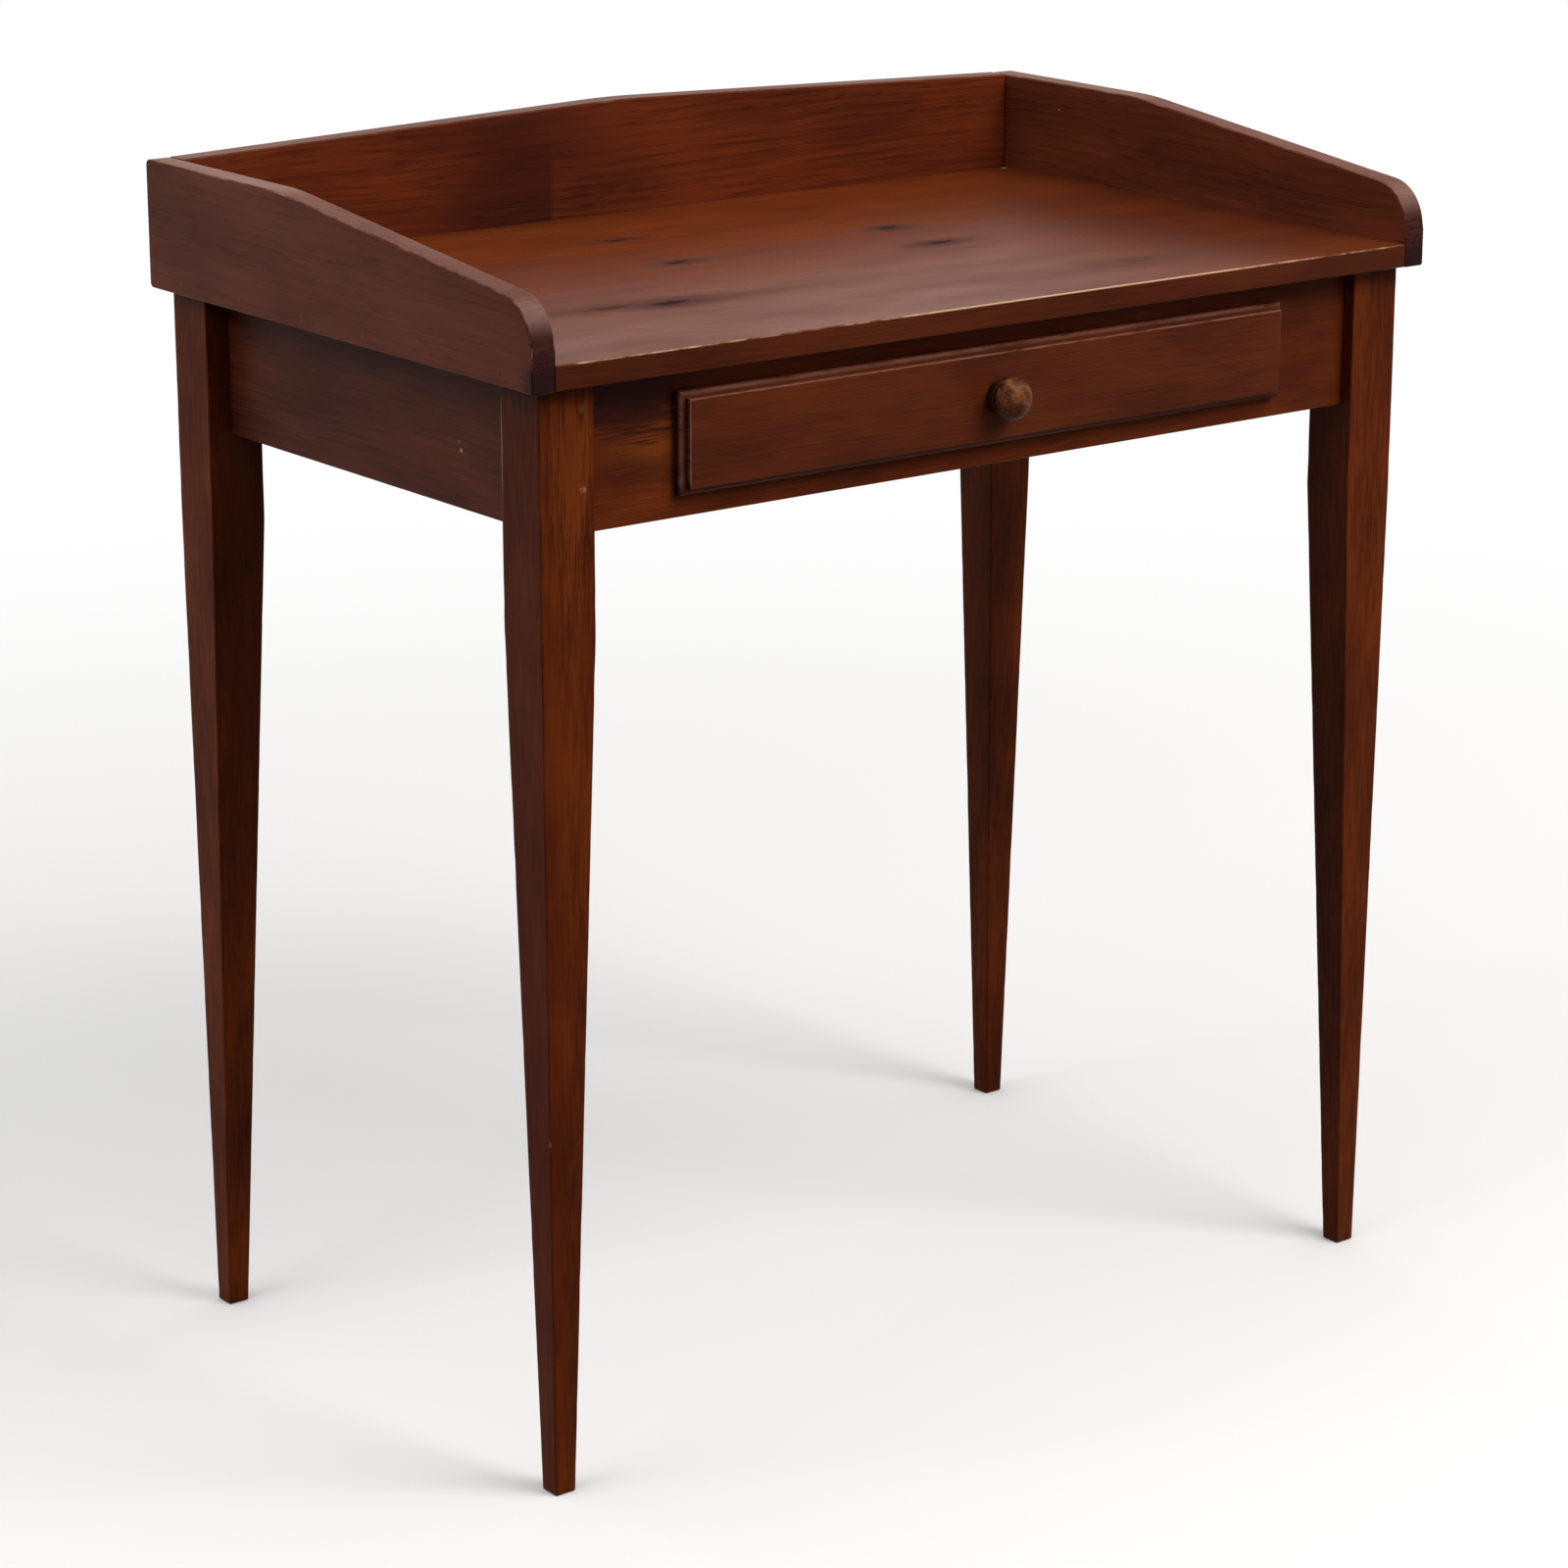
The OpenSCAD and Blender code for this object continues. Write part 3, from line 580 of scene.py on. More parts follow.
def turned_wood(name, light, mid, dark, fleck_size=2.4, apart=(), grime_and_painted_shade=None):
    """Turned hardwood, stained and handled: end grain mottled where the stain has rubbed through.

    Sizes are in millimetres. apart gives the tone of the pieces beyond a place along an axis, where they
    differ. The two depths for the black round the neck, partly soil and partly painted shade, are where it
    begins, deepening towards the foot, and where it is whole.
    """
    finish, tree, surface = begin_finish(name)
    place = add(tree, "VectorMath", {0: add(tree, "TexCoord").outputs["Object"], "Scale": 1 / MM},
                operation="SCALE").outputs[0]
    mottle = add(tree, "TexNoise", {"Vector": place, "Scale": 1 / MOTTLE_SIZE, "Detail": 3.0,
                                    "Roughness": 0.6})
    fleck = add(tree, "TexNoise", {"Vector": place, "Scale": 1 / fleck_size, "Detail": 2.0})
    sum_up = add(tree, "Math", {0: fleck.outputs[0], 1: 0.4, 2: mottle.outputs[0]},
                 operation="MULTIPLY_ADD").outputs[0]
    tint = add(tree, "ValToRGB", {"Fac": sum_up})
    ramp = tint.color_ramp.elements
    ramp[0].position, ramp[0].color = 0.55, linear(dark)
    ramp[1].position, ramp[1].color = 0.85, linear(light)
    ramp.new(0.7).color = linear(mid)
    colour = tint.outputs["Color"]
    places = add(tree, "SeparateXYZ", {0: place}).outputs
    for axis, beyond, tone in apart:
        there = add(tree, "Math", {0: places[axis], 1: beyond}, operation="GREATER_THAN").outputs[0]
        there = add(tree, "Math", {0: there, 1: 0.85}, operation="MULTIPLY").outputs[0]
        colour = add(tree, "Mix", {FACTOR: there, MIX_A: colour, MIX_B: linear(tone)},
                     data_type="RGBA").outputs[MIXED]
    # Partly soil and partly painted shade: the knob is blackened towards its foot, over the collar and
    # groove
    if grime_and_painted_shade:
        grime_and_shade = add(tree, "MapRange", {"Value": places[Y], "From Min": grime_and_painted_shade[0], "From Max": grime_and_painted_shade[1],
                                      "To Max": 0.8}, interpolation_type="SMOOTHSTEP").outputs[0]
        colour = add(tree, "Mix", {FACTOR: grime_and_shade, MIX_A: colour, MIX_B: linear(GRIME_AND_SHADE_BLACK)},
                     data_type="RGBA").outputs[MIXED]
    tree.links.new(colour, surface.inputs["Base Color"])
    surface.inputs["Roughness"].default_value = 0.42
    surface.inputs["IOR"].default_value = VARNISH_IOR
    surface.inputs["Specular IOR Level"].default_value = 0.05
    raised = add(tree, "Bump", {"Height": sum_up, "Strength": 0.3, "Distance": 0.3 * MM})
    tree.links.new(raised.outputs[0], surface.inputs["Normal"])
    return finish


SCRATCH_SIZE = 0.6 * MM


def drawn_steel(name):
    """Mild steel wire as screws and nails are made of: grey, brushed along its length."""
    finish, tree, surface = begin_finish(name)
    place = add(tree, "TexCoord").outputs["Object"]
    scratch = add(tree, "TexNoise", {"Vector": place, "Scale": 1 / SCRATCH_SIZE, "Detail": 2.0})
    dull = add(tree, "MapRange", {"Value": scratch.outputs[0], "To Min": 0.28, "To Max": 0.5})
    tree.links.new(dull.outputs[0], surface.inputs["Roughness"])
    surface.inputs["Base Color"].default_value = linear("#8f9092")
    surface.inputs["Metallic"].default_value = 1.0
    return finish


top_low, top_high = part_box("table_top")
left_low, left_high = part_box("side_board_left")
back_low, back_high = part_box("back_board")
rail_low, rail_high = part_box("front_rail")

# The desk's front edge, in the millimetres that places on a board are given in
FRONT_MM = left_low.y / MM

# Dark water stain, also laid as painted shade under the top on the rail and on the back legs, bare wood in
# a chip, and each board's tones from light to dark
STAIN_AND_PAINTED_SHADE = "#260e10"
CHIP = "#b59a8c"
TOP_TONES = ("#7c3c1b", "#652c11", "#461a09")
RED_TONES = ("#80381a", "#5c2613", "#2c100c")
LEG_TONES = ("#863c13", "#5d260d", "#2e1008")
SIDE_TONES = ("#7c3c26", "#5e2c1b", "#38150e")
RAIL_TONES = ("#8e421a", "#662b12", "#280e08")
FRONT_TONES = ("#793819", "#562512", "#2a0f0b")
APRON_TONES = ("#703522", "#522618", "#2c110b")
BARE_TONES = ("#cfa673", "#b98a55", "#94663a")

# Wide planed pine board, stained and varnished satin: orange-brown behind, greyed by a broad soft sheen in
# front, with black knots and one arris rubbed to the bare wood where arms rest, its bright line partly a
# painted highlight. Faces that don't look up get painted shade
stained_top = pine(
    "stained_pine_top", (X, Y, Z), TOP_TONES, pith=(20, 660), rings=0.05, fibres=0.75, clouds=0.7,
    dashes=0.0, lift=0.1, painted_face_shade=(Z, 0.24),
    knots=((-92, FRONT_MM + 247, 15, 6, 1.0), (114, FRONT_MM + 272, 14, 8, 1.0),
           (-184, FRONT_MM + 128, 24, 9, 1.0), (-226, FRONT_MM + 136, 28, 8, 0.75),
           (-138, FRONT_MM + 124, 26, 6, 0.4),
           (-73, FRONT_MM + 343, 14, 4, 0.9),
           (106, FRONT_MM + 202, 17, 6, 0.95), (172, FRONT_MM + 67, 26, 12, 0.4)),
    stains_and_painted_light=((310, FRONT_MM + 180, 110, 170, 0.4, None, STAIN_AND_PAINTED_SHADE),),
    rubbed_and_highlight_tone="#e4bc98", rubbed_and_highlight=0.75, rubbed_and_highlight_stretch=(62, 140), rough=0.3, gloss=0.05,
    chips=((360, FRONT_MM + 433, 762, 2.5, 2.5, CHIP),))
# The same stain where it dried darker: long red-brown streaks, a water stain that ends at a straight edge,
# and a painted sheen that lightens the top edge
stained_back = pine("stained_pine_back_board", (X, Z, Y), RED_TONES, offset=(300, 0, 40), fibres=0.75,
                    clouds=0.6, dashes=0.25, wave=9.0, rubbed_and_highlight_tone="#8f6a56", painted_sky_sheen="#6d4030", gloss=0.05,
                    stains_and_painted_light=((-92, 772, 60, 46, 0.5, -62, STAIN_AND_PAINTED_SHADE), (-75, 824, 60, 24, 0.35, None, STAIN_AND_PAINTED_SHADE)),
                    face_depth=226)
# Thin stained boards greyed by handling: a dusty purple-brown, dark end grain on the round nose, and
# painted highlights where the nose and the top edge turn up
stained_sides = pine("stained_pine_side_boards", (Y, Z, X), SIDE_TONES, offset=(0, 120, 0),
                     fibres=0.55, clouds=0.75, dashes=0.2, wave=9.0, rubbed_and_highlight_tone="#a8836f", rubbed_and_highlight=0.7,
                     end_tone="#371615", end_streak="#53291f", end_painted_highlight="#9a7468",
                     painted_sky_sheen="#7c4e3a", gloss=0.06,
                     # The nose is darker low down, beside the top's front edge
                     stains_and_painted_light=((FRONT_MM, 748, 10, 15, 0.85, None, "#1c090a"),),
                     chips=((FRONT_MM + 376, 813, 366, 0.6, 0.8, CHIP),))
# Fine-grained pine with the stain wiped unevenly: orange where it was rubbed, nearly black under the top
# at its left end, partly stain and partly painted shadow of the top's overhang
stained_rail = pine("stained_pine_rail", (X, Z, Y), RAIL_TONES, offset=(800, 300, 0), rings=0.05,
                    fibres=0.65, clouds=0.8, dashes=0.1, gloss=0.04, fibre_size=(34, 1.4),
                    stains_and_painted_light=((-268, 698, 40, 20, 0.4, None, "#a4581e"),
                            # Partly stain, partly painted shadow of the top's overhang
                            (-296, 730, 50, 28, 0.85, None, STAIN_AND_PAINTED_SHADE),
                            (-293, 683, 34, 10, 0.5, None, STAIN_AND_PAINTED_SHADE),
                            (296, 700, 34, 60, 0.3, None, STAIN_AND_PAINTED_SHADE)))
# The rear apron, brushed with the same stain and little handled: streaked red-brown
stained_back_apron = pine("stained_pine_back_apron", (X, Z, Y), RED_TONES, offset=(40, 700, 0),
                          fibres=0.8, clouds=0.8)
# Quiet straight-grained board, evenly stained: calm warm brown, with a pinkish painted highlight on the
# moulding along its top and left edges
stained_front = pine("stained_pine_drawer_front", (X, Z, Y), FRONT_TONES, offset=(100, 500, 90),
                     rings=0.04, fibres=0.6, clouds=0.7, dashes=0.08, rubbed_and_highlight_tone="#9a6452", rubbed_and_highlight=1.3,
                     gloss=0.05)
# Side aprons in the gallery's shade: plain dull brown with two flakes of lost varnish
stained_aprons = pine("stained_pine_side_aprons", (Y, Z, X), APRON_TONES, offset=(500, 200, 0),
                      fibres=0.7, dashes=0.15, gloss=0.05,
                      chips=((-97, 686, -353.5, 1.6, 1.6, CHIP),
                             (-95, 691, -353.5, 1.0, 1.0, "#8a6a60")))
# Legs sawn along the grain: close upright streaks of orange and dark brown, darker still along their
# arrises. Their side faces get painted shade; the front left leg gets a painted patch of light high on its
# front, under the top's shadow, and painted shade down its left face
leg_wood = {"ring_gap": 8.0, "rings": 0.03, "fibres": 0.7, "clouds": 1.0, "dashes": 0.12, "wave": 3.0,
            "gloss": 0.04, "fibre_size": (30, 2.2), "rubbed_and_highlight_tone": "#33120a", "rubbed_and_highlight": 0.9}
stained_legs = pine("stained_pine_front_legs", (Z, X, Y), LEG_TONES, painted_face_shade=(Y, 0.15), **leg_wood,
                    chips=((249, -368.6, -207.1, 1.0, 2.2, "#a07060"),
                           (699, -371, -167.5, 1.9, 50, "#a98470")),
                    # Painted light high on the front left leg's front, and painted shade down its left face
                    stains_and_painted_light=((690, -347, 60, 14, 0.35, None, "#9a4a1c"),
                            (300, -370, 260, 12, 0.45, None, "#5c1e08")))
# The same wood at the back, with painted shade where the desk above shades the legs: high on their fronts,
# and on every face that doesn't look sideways
back_legs_painted_shade = pine("stained_pine_back_legs_painted_shade", (Z, X, Y), LEG_TONES, painted_face_shade=(X, 0.08), **leg_wood,
                         stains_and_painted_light=((600, -345, 190, 14, 0.4, None, STAIN_AND_PAINTED_SHADE),
                                 (600, 345, 190, 14, 0.25, None, STAIN_AND_PAINTED_SHADE)))
# Pine as planed, never finished: pale yellow wood with clear growth rings and no shine
bare_pine = pine("bare_planed_pine", (Y, X, Z), BARE_TONES, rings=0.35,
                 clouds=0.35, fibres=0.25, dashes=0.15, rubbed_and_highlight_tone="#d8b588", end_tone="#a5794a",
                 end_streak="#8a5f36", rough=0.62, gloss=0.15)
# Peg ends cut across the grain: small round spots paler than the legs
peg_ends = turned_wood("peg_end_grain", "#b48458", "#946440", "#5e3a26", 1.2,
                       apart=((Z, 700, "#5a321f"), (X, 0, "#5a240c")))
# Turned hardwood knob, stained and handled for years: mottled tan face, black round its neck, partly
# soiled by hands and partly painted shade
knob_wood = turned_wood("turned_knob", "#82502f", "#613824", "#462418", grime_and_painted_shade=(-226, -219))
# Brown wax in the nail holes: dots that hardly differ from the board
filler = turned_wood("nail_hole_filler", "#75402e", "#683626", "#5a2c1e", 1.5)
# Screws and nails: plain grey metal that hardly shows
steel = drawn_steel("drawn_mild_steel")


# The top and its gallery

def make_top():
    """The writing surface, with a rebate along its back for the back board."""
    # The rebate's wall leans by this hair, so that its foot and its top are rows of their own
    hair = BACK_REBATE / 1000
    rebate = back_low.y
    depths = stations(top_low.y, rebate - hair, 2 * STATION) + [rebate, top_high.y]
    board = board_mesh(stations(top_low.x, top_high.x), depths, [top_low.z, top_high.z])

    def place(at):
        if at.y >= rebate and at.z > top_low.z:
            return Vector((at.x, at.y, top_high.z - BACK_REBATE))
        return at

    shape(board, place)
    front = [edge for edge in board.edges
             if all(abs(v.co.y - top_low.y) < MM for v in edge.verts) and edge.calc_face_angle(0) > SHARP]
    round_arrises(board, edges=[edge for edge in front if edge.verts[0].co.x != edge.verts[1].co.x])
    keep_wear(board, lambda at: at.z > top_high.z - 2 * ARRIS)
    hand_work(board)
    piece("writing_top", board, stained_top, "root", ["table_top"])


def side_outline():
    """Height of a side board above its underside, at places back from its front edge."""
    depth = left_high.y - left_low.y
    level = left_high.z - left_low.z
    run = depth - SIDE_LEVEL
    rise = level - (top_high.z - top_low.z) - SIDE_FRONT_RISE
    slope = rise / run
    lean = math.atan(slope)
    start = level - rise
    nose_z = start + slope * SIDE_NOSE_R - SIDE_NOSE_R * math.hypot(1, slope)
    nose_steps, bend_steps = 12, 4
    nose = []
    for i in range(nose_steps + 1):
        turn = math.pi - (math.pi / 2 - lean) * i / nose_steps
        nose.append((SIDE_NOSE_R + SIDE_NOSE_R * math.cos(turn), nose_z + SIDE_NOSE_R * math.sin(turn)))
    bend_end = run + SIDE_BEND_R * math.tan(lean / 2)
    bend = []
    for i in range(bend_steps + 1):
        turn = math.pi / 2 + lean * (1 - i / bend_steps)
        bend.append((bend_end + SIDE_BEND_R * math.cos(turn),
                     level - SIDE_BEND_R + SIDE_BEND_R * math.sin(turn)))
    slope_part = [(y, start + slope * y) for y in stations(nose[-1][0], bend[0][0])[1:-1]]
    level_part = [(y, level) for y in stations(bend[-1][0], depth)[1:]]
    return nose + slope_part + bend + level_part


def make_side_board(name, node, mirror):
    """A gallery side: level at the back, a soft bend, a slope, and a round front corner."""
    heights = dict(side_outline())
    thick = left_high.x - left_low.x
    board = board_mesh(list(heights), [0, thick], GALLERY_ROWS)

    def place(at):
        height = heights[min(heights, key=lambda y: abs(y - at.x))]
        x = left_low.x + at.y
        return Vector((-x if mirror else x, left_low.y + at.x, left_low.z + at.z * height))

    shape(board, place)
    back_corners = [edge for edge in board.edges
                    if edge.calc_face_angle(0) > SHARP
                    and all(abs(v.co.y - left_high.y) < MM for v in edge.verts)
                    and abs(edge.verts[0].co.x - edge.verts[1].co.x) > thick / 2]
    round_arrises(board, SIDE_BACK_R, 4, back_corners)
    round_arrises(board, SIDE_ARRIS)
    keep_wear(board, lambda at: at.z > top_high.z and at.y < left_high.y - SIDE_BACK_R)
    hand_work(board)
    piece(name, board, stained_sides, "root", [node])


def make_back_board():
    """The gallery's back, a shallow gable with its peak softened."""
    half = back_high.x
    ends = left_high.z
    foot = back_low.z
    lean = math.atan((back_high.z - ends) / half)
    peak_z = back_high.z - BACK_PEAK_R

    def height(x):
        across = abs(x)
        tangent = BACK_PEAK_R * math.sin(lean)
        if across < tangent:
            return peak_z + math.sqrt(BACK_PEAK_R ** 2 - across ** 2)
        gable = peak_z + BACK_PEAK_R * math.cos(lean)
        return gable + (ends - gable) * (across - tangent) / (half - tangent)

    board = board_mesh(stations(-half, half), [back_low.y, back_high.y], GALLERY_ROWS)
    shape(board, lambda at: Vector((at.x, at.y, foot + at.z * (height(at.x) - foot))))
    round_arrises(board, BACK_ARRIS)
    keep_wear(board, lambda at: at.z > left_high.z - 2 * ARRIS)
    hand_work(board)
    piece("gallery_back", board, stained_back, "root", ["back_board"])


def disc(radius, proud):
    """A low domed disc, its rim at z = 0 and its middle standing proud."""
    made = bmesh.new()
    made.verts.layers.float.new("arris")
    steps = 20
    # Each ring's share of the radius and of the height
    rings = ((1.0, -1.5), (1.0, 0.0), (0.8, 0.75), (0.45, 0.95))
    loops = []
    for share, rise in rings:
        loops.append([made.verts.new((radius * share * math.cos(math.tau * i / steps),
                                      radius * share * math.sin(math.tau * i / steps), proud * rise))
                      for i in range(steps)])
    crown = made.verts.new((0, 0, proud))
    skin(made, loops)
    for i in range(steps):
        made.faces.new((loops[-1][i - 1], loops[-1][i], crown))
    made.faces.new(loops[0][::-1])
    face_outwards(made)
    return made


def join(parts):
    """One mesh of many parts, each given with the transform that puts it in place."""
    whole = bmesh.new()
    whole.verts.layers.float.new("arris")
    for part, place in parts:
        part.transform(place)
        loose = bpy.data.meshes.new("loose")
        part.to_mesh(loose)
        part.free()
        whole.from_mesh(loose)
        bpy.data.meshes.remove(loose)
    return whole


def make_nail_filler(name, side):
    """Wax pressed into the punched nail holes of one side board, a shade off the stain round it."""
    turn = Matrix.Rotation(math.radians(90) * side, 4, "Y")
    middle = (top_low.z + top_high.z) / 2
    spots = [(left_low.y + NAIL_FIRST + i * NAIL_PITCH, middle) for i in range(NAIL_COUNT)]
    spots += [((back_low.y + back_high.y) / 2, top_high.z + rise) for rise in BACK_NAILS]
    outer = side * (-left_low.x - FILLER_PROUD)
    parts = [(disc(FILLER_D / 2, FILLER_PROUD), Matrix.Translation((outer, y, z)) @ turn)
             for y, z in spots]
    piece(name, join(parts), filler, "root")


# Legs, rails and pegs

def make_leg(name, node):
    """A square leg, tapered mostly on its inner faces below the aprons."""
    low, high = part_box(node)
    side = 1 if high.x > 0 else -1
    end = 1 if high.y > 0 else -1
    taper_z = high.z - TAPER_DROP
    heights = stations(low.z, taper_z) + stations(taper_z, high.z)[1:]
    board = board_mesh([0, 1], [0, 1], heights)
    outer_x = high.x if side > 0 else low.x
    outer_y = high.y if end > 0 else low.y

    def place(at):
        down = max(0, (taper_z - at.z) / taper_z)
        outer = LEG_OUTER_TAPER * down
        inner = LEG + (LEG_OUTER_TAPER + FOOT - LEG) * down
        x = outer + (inner - outer) * at.x
        y = outer + (inner - outer) * at.y
        return Vector((outer_x - side * x, outer_y - end * y, at.z))

    shape(board, place)
    round_arrises(board, FOOT_CHAMFER)
    hand_work(board)
    finish = stained_legs if end < 0 else back_legs_painted_shade
    piece(name, board, finish, "root", [node])


def make_rail():
    """The front rail, one board with the drawer opening sawn through it."""
    front_low, front_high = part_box("drawer_front")
    inner = -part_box("leg_front_left")[0].x - LEG
    left, right = front_low.x + LIP_COVER, front_high.x - LIP_COVER
    low, high = front_low.z + LIP_COVER, front_high.z - LIP_COVER
    xs = stations(-inner, left) + stations(left, right)[1:] + stations(right, inner)[1:]
    zs = stations(rail_low.z, low) + stations(low, high)[1:] + stations(high, rail_high.z)[1:]
    board = board_mesh(xs, [rail_low.y, rail_high.y], zs, window=((left, right), (low, high)))
    round_arrises(board, FINE_ARRIS)
    hand_work(board)
    piece("drawer_rail", board, stained_rail, "root", ["front_rail"])


def make_apron(name, node, finish, along):
    """An apron between two legs. Its tenons are out of sight inside them."""
    low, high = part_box(node)
    low[along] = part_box("leg_front_left")[0][along] + LEG
    high[along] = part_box("leg_back_right")[1][along] - LEG
    board = board_mesh(stations(low.x, high.x), stations(low.y, high.y),
                       stations(low.z, high.z, 2 * STATION))
    round_arrises(board, FINE_ARRIS)
    hand_work(board)
    piece(name, board, finish, "root", [node])


def make_pegs():
    """Draw-bore pegs, cut off and sanded just proud of the legs."""
    low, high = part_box("rail_pegs")
    leg_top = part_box("leg_front_left")[1].z
    parts = []
    peg_x = -low.x - PEG_D / 2
    for drop in PEG_DROPS:
        for side in (-1, 1):
            for end, y in ((-1, low.y), (1, high.y)):
                turn = Matrix.Rotation(math.radians(-90) * end, 4, "X")
                place = Matrix.Translation((side * peg_x, y - end * PEG_PROUD, leg_top - drop)) @ turn
                parts.append((disc(PEG_D / 2, PEG_PROUD), place))
    piece("draw_bore_pegs", join(parts), peg_ends, "root", ["rail_pegs"])


# The drawer

def edge_profile():
    """The drawer front's moulding from its back edge: how far in, and how far out from the rail."""
    edge = LIP_T - BEAD_H - STEP_H
    bead_top = edge + BEAD_H
    radius = (BEAD_W ** 2 + BEAD_H ** 2) / (2 * BEAD_H)
    sweep = math.asin(min(1, BEAD_W / radius))
    steps = 8
    bead = []
    for i in range(steps + 1):
        turn = sweep * (1 - i / steps)
        bead.append((BEAD_W - radius * math.sin(turn), bead_top - radius + radius * math.cos(turn)))
    soft = FINE_ARRIS
    field = [(BEAD_W, LIP_T - soft), (BEAD_W + 0.3 * soft, LIP_T - 0.3 * soft), (BEAD_W + soft, LIP_T),
             (BEAD_W + 2 * soft, LIP_T)]
    return [(0, 0)] + bead + field


def cut_for(board, nodes):
    """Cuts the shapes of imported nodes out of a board, so that joints fit what they hold."""
    trial = bpy.data.meshes.new("uncut")
    board.to_mesh(trial)
    board.free()
    uncut = add_object("uncut", trial)
    cutters = []
    for node in nodes:
        solid = bmesh.new()
        solid.from_mesh(frame["nodes"][node].data)
        bmesh.ops.remove_doubles(solid, verts=solid.verts, dist=0.001 * MM)
        mesh = bpy.data.meshes.new("cutter")
        solid.to_mesh(mesh)
        solid.free()
        cutter = add_object("cutter", mesh)
        cutters.append(cutter)
        cut = uncut.modifiers.new("cut", "BOOLEAN")
        cut.object = cutter
        cut.solver = "EXACT"
    bpy.context.view_layer.update()
    result = bmesh.new()
    result.from_mesh(uncut.evaluated_get(bpy.context.evaluated_depsgraph_get()).data)
    for spare in [uncut] + cutters:
        bpy.data.objects.remove(spare)
    return result


def make_drawer_front():
    """Lip, bead, step and raised field in one moulded board, with the block behind it."""
    low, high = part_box("drawer_front")
    lip_y = low.y + LIP_T
    board = bmesh.new()
    mark = board.verts.layers.float.new("arris")
    xs = stations(low.x, high.x)
    zs = stations(low.z, high.z)
    middle_x, middle_z = (low.x + high.x) / 2, (low.z + high.z) / 2
    walk = [(x, zs[0]) for x in xs[:-1]] + [(xs[-1], z) for z in zs[:-1]]
    lit_from = len(walk)
    walk += [(x, zs[-1]) for x in xs[:0:-1]] + [(xs[0], z) for z in zs[:0:-1]]
    loops = []
    for inset, out in edge_profile():
        scale_x = 1 - 2 * inset / (high.x - low.x)
        scale_z = 1 - 2 * inset / (high.z - low.z)
        loops.append([board.verts.new((middle_x + (x - middle_x) * scale_x, lip_y - out,
                                       middle_z + (z - middle_z) * scale_z)) for x, z in walk])
    skin(board, loops)
    board.faces.new(loops[0])
    board.faces.new(loops[-1])
    # Painted highlight: only the loops along the top and left edges are marked, so that they come out paler
    for loop, share in MOULD_PAINTED_HIGHLIGHT:
        for vertex in loops[loop][lit_from:]:
            vertex[mark] = share
    face_outwards(board)
    side_low, side_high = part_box("drawer_side_right")
    block = board_mesh([-side_high.x, side_high.x], [lip_y - FINE_ARRIS, high.y],
                       [side_low.z, side_high.z])
    block = cut_for(block, ["drawer_side_left", "drawer_side_right", "drawer_bottom", "knob_screw"])
    board = join([(board, Matrix()), (block, Matrix())])
    piece("moulded_drawer_front", board, stained_front, "drawer", ["drawer_front"])


def knob_profile(reach, knob_r):
    """Radius and distance from the foot along the knob: rounded collar, groove, flare and domed head."""
    turn_steps, dome_steps = 8, 12
    quarter = [math.pi / 2 * i / turn_steps for i in range(turn_steps + 1)]
    collar_r = COLLAR_D / 2 - COLLAR_R
    collar = [(collar_r + COLLAR_R * math.sin(turn), COLLAR_R * (1 - math.cos(turn))) for turn in quarter]
    collar += [(collar_r + COLLAR_R * math.cos(turn), COLLAR_T - COLLAR_R * (1 - math.sin(turn)))
               for turn in quarter]
    groove_end = COLLAR_T + GROOVE_L
    flare = knob_r - GROOVE_D / 2
    neck = [(GROOVE_D / 2 + flare * math.sin(turn),
             groove_end + (KNOB_WIDE - groove_end) * (1 - math.cos(turn))) for turn in quarter]
    dome = [math.pi / 2 * i / dome_steps for i in range(1, dome_steps)]
    head = [(knob_r * math.cos(turn), KNOB_WIDE + (reach - KNOB_WIDE) * math.sin(turn)) for turn in dome]
    return collar + [(GROOVE_D / 2, COLLAR_T + GROOVE_WALL)] + neck + head


def make_knob():
    """The turned knob on its collar."""
    low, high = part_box("drawer_knob")
    middle = (low + high) / 2
    steps = 56
    knob = bmesh.new()
    knob.verts.layers.float.new("arris")
    loops = []
    for radius, out in knob_profile(high.y - low.y, (high.x - low.x) / 2):
        loops.append([knob.verts.new((middle.x + radius * math.cos(math.tau * i / steps), high.y - out,
                                      middle.z + radius * math.sin(math.tau * i / steps)))
                      for i in range(steps)])
    foot = knob.verts.new((middle.x, high.y, middle.z))
    crown = knob.verts.new((middle.x, low.y, middle.z))
    skin(knob, loops)
    for i in range(steps):
        knob.faces.new((loops[0][i], loops[0][i - 1], foot))
        knob.faces.new((loops[-1][i - 1], loops[-1][i], crown))
    face_outwards(knob)
    piece("turned_knob", knob, knob_wood, "drawer", ["drawer_knob"])


# The studio

def shown(tree):
    """One for a ray that shows the pale studio: the camera's own, or one in a gloss or through glass."""
    path = add(tree, "LightPath")
    seen = path.outputs["Is Camera Ray"]
    for ray in ("Is Glossy Ray", "Is Transmission Ray"):
        seen = add(tree, "Math", {0: seen, 1: path.outputs[ray]}, operation="MAXIMUM").outputs[0]
    return seen


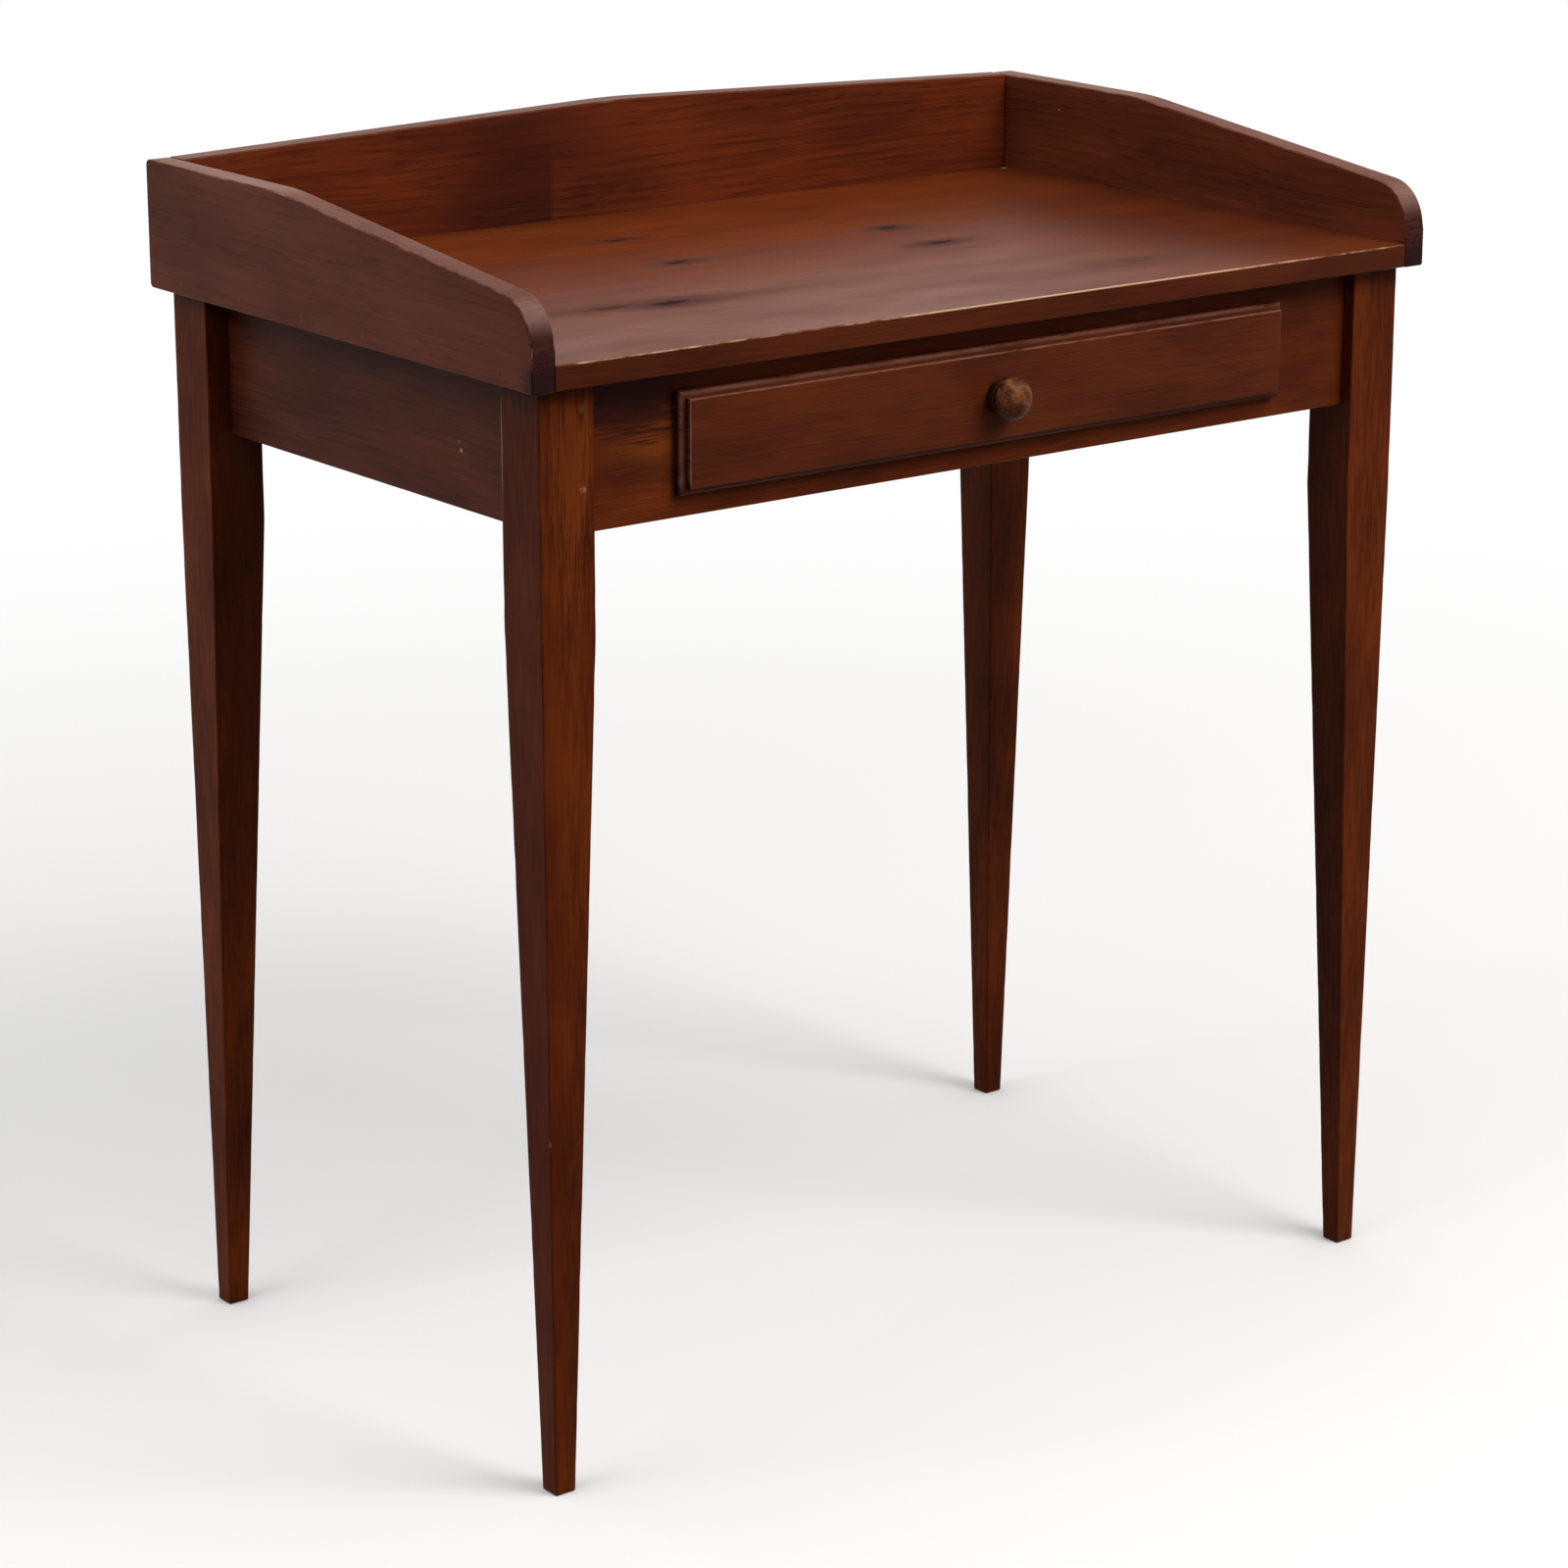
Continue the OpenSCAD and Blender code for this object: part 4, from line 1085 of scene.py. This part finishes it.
def make_floor():
    """Pale floor that fades to white away from the desk. It is darker for light that it would throw up."""
    mesh = bpy.data.meshes.new("studio_floor")
    mesh.from_pydata([(-FLOOR_HALF, -FLOOR_HALF, 0), (FLOOR_HALF, -FLOOR_HALF, 0),
                      (FLOOR_HALF, FLOOR_HALF, 0), (-FLOOR_HALF, FLOOR_HALF, 0)], [], [(0, 1, 2, 3)])
    floor = add_object("studio_floor", mesh)
    paint = bpy.data.materials.new("pale_floor")
    tree = clean_tree(paint)
    seen = shown(tree)
    tone = add(tree, "Mix", {FACTOR: seen, MIX_A: linear("#3c3a38"), MIX_B: linear("#fafafa")},
               data_type="RGBA")
    matt = add(tree, "BsdfDiffuse", {"Color": tone.outputs[MIXED]})
    white = add(tree, "Emission", {"Color": linear("#ffffff"), "Strength": 1.0})
    away = add(tree, "VectorMath", {0: add(tree, "TexCoord").outputs["Object"]}, operation="LENGTH")
    fade = add(tree, "MapRange", {"Value": away.outputs["Value"], "From Min": FADE_FROM,
                                  "From Max": FADE_TO}, interpolation_type="SMOOTHSTEP").outputs[0]
    fade = add(tree, "Math", {0: fade, 1: seen}, operation="MULTIPLY").outputs[0]
    mixed = add(tree, "MixShader", {0: fade, 1: matt.outputs[0], 2: white.outputs[0]})
    add(tree, "OutputMaterial", {"Surface": mixed.outputs[0]})
    mesh.materials.append(paint)


def make_world():
    """White behind the desk; soft even light on it, stronger from above than from the side."""
    world = bpy.data.worlds.new("studio")
    bpy.context.scene.world = world
    tree = clean_tree(world)
    up = add(tree, "SeparateXYZ", {0: add(tree, "TexCoord").outputs["Generated"]}).outputs["Z"]
    sky = add(tree, "MapRange", {"Value": up, "From Min": 0.0, "From Max": 0.9, "To Min": 0.05,
                                 "To Max": 0.95}).outputs[0]
    soft = add(tree, "Background", {"Color": linear("#fbfaf9"), "Strength": sky})
    white = add(tree, "Background", {"Color": linear("#ffffff"), "Strength": 1.0})
    mixed = add(tree, "MixShader", {0: shown(tree), 1: soft.outputs[0], 2: white.outputs[0]})
    add(tree, "OutputWorld", {"Surface": mixed.outputs[0]})


def make_lamp(name, place, target, size, power, colour="#ffffff"):
    """A soft square lamp aimed at a point."""
    lamp = bpy.data.lights.new(name, "AREA")
    lamp.size = size
    lamp.energy = power
    lamp.color = linear(colour)[:3]
    made = add_object(name, lamp)
    made.location = place
    made.rotation_euler = (Vector(target) - Vector(place)).to_track_quat("-Z", "Y").to_euler()


def make_camera():
    """The photograph's view. Its axis lies right of the picture's middle, so the lens is shifted."""
    towards = Vector((math.sin(CAMERA_AZIMUTH) * math.cos(CAMERA_ELEVATION),
                      -math.cos(CAMERA_AZIMUTH) * math.cos(CAMERA_ELEVATION),
                      math.sin(CAMERA_ELEVATION)))
    level = Vector((math.cos(CAMERA_AZIMUTH), math.sin(CAMERA_AZIMUTH), 0))
    upright = towards.cross(level)
    right = level * math.cos(CAMERA_ROLL) + upright * math.sin(CAMERA_ROLL)
    up = upright * math.cos(CAMERA_ROLL) - level * math.sin(CAMERA_ROLL)
    lens = bpy.data.cameras.new("photo_camera")
    lens.sensor_width = SENSOR
    lens.lens = FOCAL_PX / PHOTO_PX * SENSOR
    lens.shift_x = (PHOTO_PX / 2 - AXIS_PX) / PHOTO_PX
    camera = add_object("photo_camera", lens)
    turn = Matrix((right, up, towards)).transposed().to_4x4()
    camera.matrix_world = Matrix.Translation(CAMERA_TARGET + towards * CAMERA_DISTANCE) @ turn
    bpy.context.scene.camera = camera


make_camera()
make_top()
make_side_board("gallery_left", "side_board_left", False)
make_side_board("gallery_right", "side_board_right", True)
make_back_board()
make_nail_filler("nail_filler_left", -1)
make_nail_filler("nail_filler_right", 1)
for corner in ("front_left", "front_right", "back_left", "back_right"):
    make_leg("tapered_leg_" + corner, "leg_" + corner)
make_rail()
make_apron("apron_left", "side_apron_left", stained_aprons, Y)
make_apron("apron_right", "side_apron_right", stained_aprons, Y)
make_apron("apron_back", "back_apron", stained_back_apron, X)
make_pegs()
make_drawer_front()
make_knob()

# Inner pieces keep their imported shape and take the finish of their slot
CARRIED = {"bare_pine": bare_pine, "steel": steel}
for part in frame["record"]["subparts"]:
    if part["material_slot"] in CARRIED:
        node_mesh = frame["nodes"][part["node"]].data
        node_mesh.materials.clear()
        node_mesh.materials.append(CARRIED[part["material_slot"]])

make_floor()
make_world()
make_lamp("key_softbox", (0.8, -1.8, 2.6), (0, 0, 0.6), 1.4, 43, "#fffaf4")
make_lamp("fill_softbox", (-2.3, 0.1, 2.5), (0, 0, 0.6), 1.5, 17, "#fbfbff")
make_lamp("side_softbox", (2.8, 0.2, 0.7), (0, 0, 0.6), 1.8, 7, "#fffaf4")
bpy.context.scene.view_settings.view_transform = "Standard"
